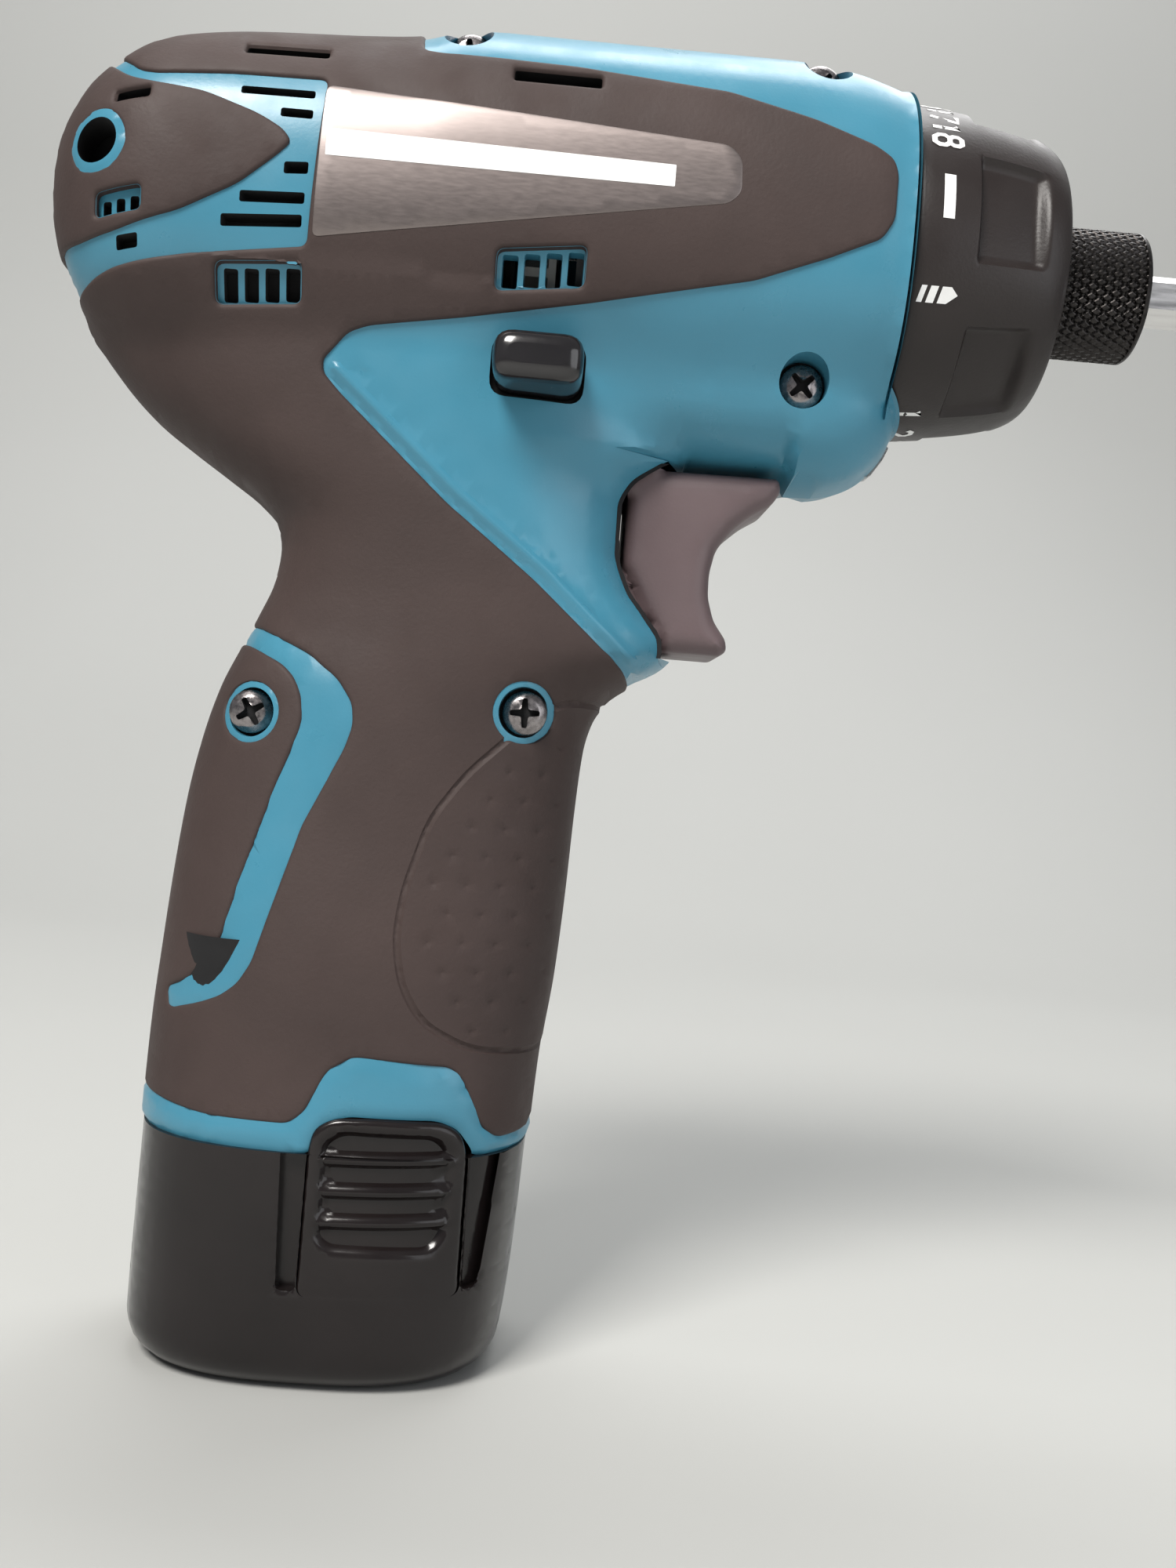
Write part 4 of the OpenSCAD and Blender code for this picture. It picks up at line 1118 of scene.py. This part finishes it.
def knurl_radius(x, r, a):
    """Diamond knurl: two sets of slanted grooves."""
    if x < SLEEVE_X0 + 0.5 or x > SLEEVE_X1 - 0.9 or r < SLEEVE_R - 0.3:
        return r
    along = (x - SLEEVE_X0) / KNURL_PITCH / 2
    round_ = a / (2 * math.pi) * KNURL_COUNT
    g1 = abs((round_ + along) % 1 - 0.5) * 2
    g2 = abs((round_ - along) % 1 - 0.5) * 2
    return r - 0.42 * (1 - min(1, 2.2 * min(g1, g2)))


knurl_xs = np.arange(SLEEVE_X0 + 0.5, SLEEVE_X1 - 0.9, KNURL_PITCH / 6)
sleeve_profile = [(SLEEVE_X0, 6.2), (SLEEVE_X0, 8.2), (SLEEVE_X0 + 0.3, 8.8)]
sleeve_profile += [(float(x), SLEEVE_R) for x in knurl_xs]
sleeve_profile += [(SLEEVE_X1 - 0.8, SLEEVE_R), (SLEEVE_X1 - 0.5, SLEEVE_R), (SLEEVE_X1 - 0.15, 8.65),
                   (SLEEVE_X1, 8.3), (SLEEVE_X1, 7.7), (SLEEVE_X1, 6.6), (SLEEVE_X1 - 0.6, 6.1),
                   (SLEEVE_X1 - 4, 6.1)]
sleeve_mesh = turned_grid(sleeve_profile, KNURL_COUNT * 8, knurl_radius)
sleeve_piece = make_piece("knurled_sleeve", *sleeve_mesh, "sleeve", "black_knurl", KNURL, sharp=35)
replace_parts(sleeve_piece, "chuck_sleeve")


# ---------------------------------------------------------------------------
# Front of the housing: annular face, lip and throat behind the clutch ring
# ---------------------------------------------------------------------------
FRONT_Z = (-22.7, 23.8)                  # lower and upper end of the front face
THROAT_R, THROAT_DEPTH = 14.8, 3.0       # hole in the front face for the gear case


def front_face():
    """The closed front of the housing between its rim and the gear case."""
    zs = np.linspace(*FRONT_Z, 60)
    w = body_w(np.full(len(zs), FRONT_X - 0.05), zs)
    rim = np.concatenate([np.stack([-w, zs], 1), np.stack([w, zs], 1)[::-1]])
    scale = THROAT_R / np.maximum(np.linalg.norm(rim, axis=1), THROAT_R)
    inner = rim * scale[:, None]
    rings = ((FRONT_X, rim), (FRONT_X, inner), (FRONT_X - THROAT_DEPTH, inner))
    verts = [(x, y, z) for x, ring in rings for y, z in ring]
    return np.array(verts), quads(len(rings), len(rim))


make_piece("housing_front", *front_face(), "tool", "teal_shell", TEAL)


def lip_shelf():
    """Hollow top of the nose, round the clutch ring."""
    x, _, angle = lip_line()
    across = np.linspace(-1, 1, 25)
    verts = []
    for px, reach in zip(np.append(x, FRONT_X - 0.1), np.append(angle, angle[-1])):
        verts += [(px, LIP_R * math.sin(reach * t), -LIP_R * math.cos(reach * t)) for t in across]
    return np.array(verts, float), quads(len(x) + 1, len(across), closed=False)


make_piece("nose_lip", *lip_shelf(), "tool", "teal_shell", TEAL)


# The lens as seen from the side, and swept across its own width
lens_side = softened([(112, -28.4), (112, -24), (118.1, -24), (117.4, -25.8), (115.7, -28.4)], 0.4, 0.4)
lens_low, lens_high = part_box("led_lens")
lens = make_piece("lens_window", *rounded_bar(lens_side, lens_low.y / MM, lens_high.y / MM, 0.6), "tool",
                  "lens_clear", CAD_LOOKS["led_lens"], sharp=50)
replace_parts(lens, "led_lens")


def lever_well():
    """Walls and floor round the speed lever, in near-black painted shade."""
    floor_z = WINDOW_Z - 4.5
    corners = [(WINDOW_X[0], -WINDOW_HALF), (WINDOW_X[1], -WINDOW_HALF), (WINDOW_X[1], WINDOW_HALF),
               (WINDOW_X[0], WINDOW_HALF)]
    top_z = WINDOW_Z + 0.1
    verts = [(x, y, z) for z in (floor_z, top_z) for x, y in corners]
    return np.array(verts, float), [(0, 1, 2, 3)] + quads(2, len(corners))


make_piece("lever_well", *lever_well(), "tool", "teal_shell", PAINTED_SHADE)


# ---------------------------------------------------------------------------
# Trigger: its side outline swept across with rounded flanks
# ---------------------------------------------------------------------------
trigger_side = softened([
    (82, -31), (102.4, -30.7), (102.9, -32.3), (101.8, -34.3), (99, -36.1), (96.5, -38.4), (94.6, -41.2),
    (94, -44.4), (94.1, -47.6), (95.1, -50.7), (97, -53.2), (97.2, -54.7), (96.2, -55.5), (87.6, -55.5),
    (84, -51.5), (82, -47.6)], 0.9, 0.6)


def trigger_mesh():
    """Two flanks, rounded where they leave the housing, and the band between them."""
    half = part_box("trigger")[1].y / MM
    loops = ring_loops(trigger_side, [0, 0.12, 0.4, 0.9, 1.6, 2.6])
    points = thinned(grid_points(trigger_side.min(0), trigger_side.max(0), 1.2), loops, 0.4)
    flat, tris = triangulate(loops, points, lambda c: inside(c, trigger_side))
    outside = trigger_side[:, 0] > np.interp(trigger_side[:, 1], MOUTH[:, 1], MOUTH[:, 0]) + 0.3
    front = trigger_side[outside]

    def half_at(points):
        return half - soft_edge(distance(points, front, closed=False), 2.6, 2.5)
    right = np.stack([flat[:, 0], -half_at(flat), flat[:, 1]], 1)
    left, left_tris = mirrored(right, tris)
    rim_half = half_at(trigger_side)
    rim = [(x, s * w, z) for s in (-1, 1) for (x, z), w in zip(trigger_side, rim_half)]
    return merged([(right, tris), (left, left_tris), (np.array(rim), quads(2, len(trigger_side)))])


def mouth_walls():
    """Side walls of the trigger's opening, in near-black painted shade."""
    parts = []
    for side in (-1, 1):
        outer = [(x, side * MOUTH_HALF, z) for x, z in MOUTH]
        inner = [(MOUTH_BACK, side * MOUTH_HALF, z) for _, z in MOUTH]
        parts.append((np.array(outer + inner, float), quads(2, len(MOUTH), closed=False)))
    return merged(parts)


make_piece("trigger_mouth", *mouth_walls(), "tool", "teal_shell", PAINTED_SHADE)

trigger_piece = make_piece("trigger_body", *trigger_mesh(), "trigger", "trigger_plastic", TRIGGER, sharp=60,
                           weld=0.02)
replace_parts(trigger_piece, "trigger")

# ---------------------------------------------------------------------------
# Battery case and its two latches
# ---------------------------------------------------------------------------
LATCH_FOOT = -141.2
TONGUE_DROP, TONGUE_THICK = 0.7, 1.6     # rounding of the tongue's edge, and its thickness
LATCH_SLOT_DEPTH, SLOT_EDGE = 1.9, 0.35
latch_outline = softened([(47.8, LATCH_FOOT), (47.9, -122.6), (48.4, -119.9), (50.8, -118.5), (56, -118.3),
                          (64.6, -118.6), (67.2, -120), (68.1, -122.8), (68.2, LATCH_FOOT)], 1.6)
slot_back = softened([(45.2, -140.6), (44.4, -119), (47.9, -119), (47.7, -140.6)], 0.9)
slot_front = softened([(68.3, -140.6), (68.1, -119), (72.6, -119), (70.4, -140.6)], 0.9)
RIDGES = (-123.6, -127.6, -131.5)
RIDGE_LEAN, LATCH_X = 0.02, 58           # the ridges rise forwards, measured from the latch's middle
PAD_FOOT, SCOOP = -135.6, 0.95           # lower end of the finger pad, and its depth
PAD = softened([(49.3, -134), (49.3, -121.6), (51.8, -119.8), (64.2, -120), (66.6, -122.4), (66.4, -133),
                (64.4, PAD_FOOT), (51.2, -135.4)], 2.0)


def battery_side():
    """One side of the battery case, with the slots that free the latch."""
    zs = np.concatenate([BASE_Z + np.array([0.01, 0.08, 0.2, 0.45, 0.8, 1.3, 1.9, 2.6, 3.6]),
                         np.arange(BASE_Z + 4.6, DECK_Z, 1.2), [DECK_Z]])
    loops = []
    for side in (battery_back, battery_front):
        loops.append((np.stack([side(zs), zs], 1), False))
    xs = np.arange(30, 68.1, 1.0)
    for z in (BASE_Z + 0.01, DECK_Z):
        loops.append((np.stack([xs, np.full(len(xs), z)], 1), False))
    slots = [slot_back, slot_front]
    for slot in slots:
        loops += ring_loops(slot, [0, 0.1, -SLOT_EDGE])
    loops.append((latch_outline, True))
    rows = band_levels(battery_back, battery_front, zs, BATTERY_POWER)
    levels = np.concatenate(rows[2:])
    levels = np.concatenate([levels] + [np.stack([xs, np.full(len(xs), z)], 1) for z in zs[1:9]])
    points = np.concatenate([levels, grid_points((23, BASE_Z + 4), (76, DECK_Z), 1.6)])
    points = thinned(points, loops, 0.22)

    def keep(c):
        within = (battery_w(*c.T) > 0.01) & (c[:, 1] > BASE_Z) & (c[:, 1] < DECK_Z)
        return within & ~inside(c, latch_outline)
    flat, tris = triangulate(loops, points, keep)
    sink = np.zeros(len(flat))
    height = np.zeros(len(flat))
    for slot in slots:
        sink[inside(flat, offset(slot, 0.05))] = LATCH_SLOT_DEPTH
        edge = 0.2 * unit(1 - distance(flat, slot) / SLOT_EDGE) ** 2
        height -= np.where(inside(flat, slot), 0, edge)
    return lifted(flat, battery_w, height, sink), tris


ROUND = np.radians(np.arange(0, 360, 5))
COS, SIN = np.cos(ROUND), np.sin(ROUND)


def section_ring(z, back, front, half):
    """The battery's rounded section at one height."""
    power = 2 / BATTERY_POWER
    x = (back + front) / 2 + (front - back) / 2 * np.sign(COS) * np.abs(COS) ** power
    y = half * np.sign(SIN) * np.abs(SIN) ** power
    return np.stack([x, y, np.full(len(ROUND), z)], 1)


def case_end(z, up):
    """A flat end of the battery case."""
    face = tuple(range(len(ROUND)))
    ring = section_ring(z, float(battery_back(z)), float(battery_front(z)), float(battery_half(z)))
    return ring, [face if up else face[::-1]]


right_side = battery_side()
battery_parts = [right_side, mirrored(*right_side), case_end(BASE_Z, False), case_end(DECK_Z, True)]
battery_piece = make_piece("battery_shell", *merged(battery_parts), "battery", "battery_plastic", GLOSS,
                           sharp=40)
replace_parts(battery_piece, "battery_case")


# The stem round the cells, and the socket in the grip that takes it
STEM_CENTRES = np.array([(37.5, -9.15), (37.5, 9.15), (53.4, 0)])
STEM_R, STEM_TOP, STEM_PLAY = 9.9, -98.4, 0.35
SOCKET_HALF, LATCH_CLEAR = 20.5, 19.2      # half width of the underside, and beside the latches


def stem_ring(r, z):
    """The outline round the three cells at one height."""
    out = np.stack([COS, SIN], 1)
    centre = STEM_CENTRES[np.argmax(out @ STEM_CENTRES.T, axis=1)]
    return np.column_stack([centre + r * out, np.full(len(ROUND), z)])


def battery_stem():
    sections = [(STEM_R, DECK_Z), (STEM_R, -112), (STEM_R, STEM_TOP - 1), (STEM_R - 0.15, STEM_TOP - 0.5),
                (STEM_R - 0.5, STEM_TOP - 0.15), (STEM_R - 1, STEM_TOP)]
    rings = [stem_ring(r, z) for r, z in sections]
    count = len(rings[0])
    faces = quads(len(rings), count) + [tuple((len(rings) - 1) * count + i for i in range(count))]
    return np.concatenate(rings), faces


def grip_socket():
    """Underside of the grip and the walls of the pocket for the stem, in near-black painted shade."""
    back, front = float(grip_back(DECK_Z)) + 2, float(grip_front(DECK_Z)) - 2
    outer = section_ring(DECK_Z + 0.1, back, front, SOCKET_HALF)
    by_latch = (outer[:, 0] > 46) & (outer[:, 0] < 70)
    outer[by_latch, 1] = np.clip(outer[by_latch, 1], -LATCH_CLEAR, LATCH_CLEAR)
    walls = [stem_ring(STEM_R + STEM_PLAY, z) for z in (DECK_Z + 0.1, DECK_Z + 0.6, STEM_TOP + 1)]
    return np.concatenate([outer] + walls), quads(1 + len(walls), len(outer))


make_piece("battery_stem", *battery_stem(), "battery", "battery_plastic", GLOSS, sharp=50)
make_piece("grip_socket", *grip_socket(), "tool", "teal_shell", PAINTED_SHADE)


def latch_surface(x, z):
    """Half width of the latch's outer surface: the case carried on above the deck."""
    return battery_w(x, np.minimum(z, DECK_Z))


def latch_height(flat, d):
    """Rounded tongue with a scooped finger pad and its ridges."""
    foot = unit((flat[:, 1] - LATCH_FOOT) / 2.5)      # the tongue's foot is flush with the case
    height = -soft_edge(d, 0.8, TONGUE_DROP) * foot
    scoop = SCOOP * unit(distance(flat, PAD) / 0.9) ** 1.5
    for ridge in RIDGES:
        gap = np.abs(flat[:, 1] - ridge - RIDGE_LEAN * (flat[:, 0] - LATCH_X))
        scoop = np.minimum(scoop, SCOOP * unit((gap - 0.25) / 0.8) ** 1.3)
    slope = 0.25 * unit((flat[:, 1] - PAD_FOOT) / 16)
    return height - np.where(inside(flat, PAD), scoop + slope * (scoop > 0), 0)


def latch_mesh():
    loops = ring_loops(latch_outline, [0, 0.15, 0.45, 0.8])
    loops += ring_loops(PAD, [0, 0.3, 0.6, 0.9])
    xs = np.arange(51, 65.1, 0.9)
    for ridge in RIDGES:
        for shift in (-1.1, -0.7, -0.3, 0.3, 0.7, 1.1):
            zs = np.full(len(xs), ridge + shift) + RIDGE_LEAN * (xs - LATCH_X)
            loops.append((np.stack([xs, zs], 1), False))
    points = thinned(grid_points(latch_outline.min(0), latch_outline.max(0), 1.1), loops, 0.25)
    flat, tris = triangulate(loops, points, lambda c: inside(c, latch_outline))
    verts = lifted(flat, latch_surface, latch_height(flat, distance(flat, latch_outline)))
    outer = lifted(latch_outline, latch_surface, -TONGUE_DROP)
    skirt = np.concatenate([outer, outer + [0, TONGUE_THICK, 0]])
    return merged([(verts, tris), (skirt, quads(2, len(outer)))])


right_tongue = latch_mesh()
for side, tongue in zip(SIDES, (right_tongue, mirrored(*right_tongue))):
    piece = make_piece(f"latch_tongue_{side}", *tongue, f"latch_{side}", "battery_plastic", GLOSS, sharp=50)
    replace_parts(piece, f"battery_latch_{side}")

# ---------------------------------------------------------------------------
# Camera, light and floor
# ---------------------------------------------------------------------------
CAMERA_AT = (72.6, -220.0, -71.6)      # in the tool's plane
PAN, TILT, ROLL = -1.95, -0.7, -4.65   # degrees


def add_camera():
    data = bpy.data.cameras.new("camera")
    data.sensor_fit = "VERTICAL"
    data.sensor_height = 36
    data.lens = 36
    data.clip_start = 0.01
    camera = add_object("camera", data)
    view = (Matrix.Rotation(math.radians(-ROLL), 3, "Y") @ Matrix.Rotation(math.radians(-TILT), 3, "X")
            @ Matrix.Rotation(math.radians(-PAN), 3, "Z"))
    right, forward, up = view[0], view[1], view[2]
    turn = Matrix((right, up, -forward)).transposed().to_4x4()
    camera.matrix_world = Matrix.Translation(row([CAMERA_AT])[0]) @ turn
    bpy.context.scene.camera = camera


def area_light(name, place, target, size, power, color=(1, 1, 1)):
    data = bpy.data.lights.new(name, "AREA")
    data.shape = "RECTANGLE"
    data.size, data.size_y = size
    data.energy = power
    data.color = color
    light = add_object(name, data)
    light.location = place
    light.rotation_euler = (Vector(target) - Vector(place)).to_track_quat("-Z", "Y").to_euler()


def add_floor():
    """A pale sweep: flat under the tool, curving up behind it."""
    pale, nodes, links, shader = new_material("pale_floor", (0.46, 0.465, 0.45), 0.7)
    drift = noise(nodes, links, 1.5, 3)
    ramped(nodes, links, drift, (0.3, (0.44, 0.445, 0.43)), (0.7, (0.48, 0.485, 0.47)),
           shader.inputs["Base Color"])
    flat_end, bend = 0.45, 0.5
    turns = np.radians(np.arange(5, 91, 5))
    profile = [(-3.0, 0.0), (flat_end, 0.0)]
    profile += [(flat_end + bend * math.sin(a), bend - bend * math.cos(a)) for a in turns]
    profile += [(flat_end + bend, 4.0)]
    verts = [(x, y, z) for y, z in profile for x in (-4, 4)]
    faces = quads(len(profile), 2, closed=False)
    mesh = bpy.data.meshes.new("floor")
    mesh.from_pydata(verts, [], faces)
    mesh.materials.append(pale)
    mesh.polygons.foreach_set("use_smooth", [True] * len(faces))
    add_object("floor", mesh)


def add_world():
    world = bpy.data.worlds.new("studio")
    world.use_nodes = True
    back = world.node_tree.nodes["Background"]
    back.inputs["Color"].default_value = (0.93, 0.95, 1, 1)
    back.inputs["Strength"].default_value = 0.26
    bpy.context.scene.world = world


add_camera()
middle = (0.03, 0, 0.1)
area_light("key", (-0.32, -0.62, 0.85), middle, (0.36, 0.36), 14, (1, 0.97, 0.93))
area_light("fill", (0.75, -0.6, 0.25), middle, (0.7, 0.7), 2.6, (0.95, 0.97, 1))
area_light("backdrop", (0.0, 0.45, 1.5), (0.05, 0.95, 0.3), (0.8, 0.5), 10)
area_light("back", (0.3, 0.42, 0.75), middle, (0.4, 0.4), 1.6)
add_floor()
add_world()
bpy.context.scene.view_settings.view_transform = "Standard"
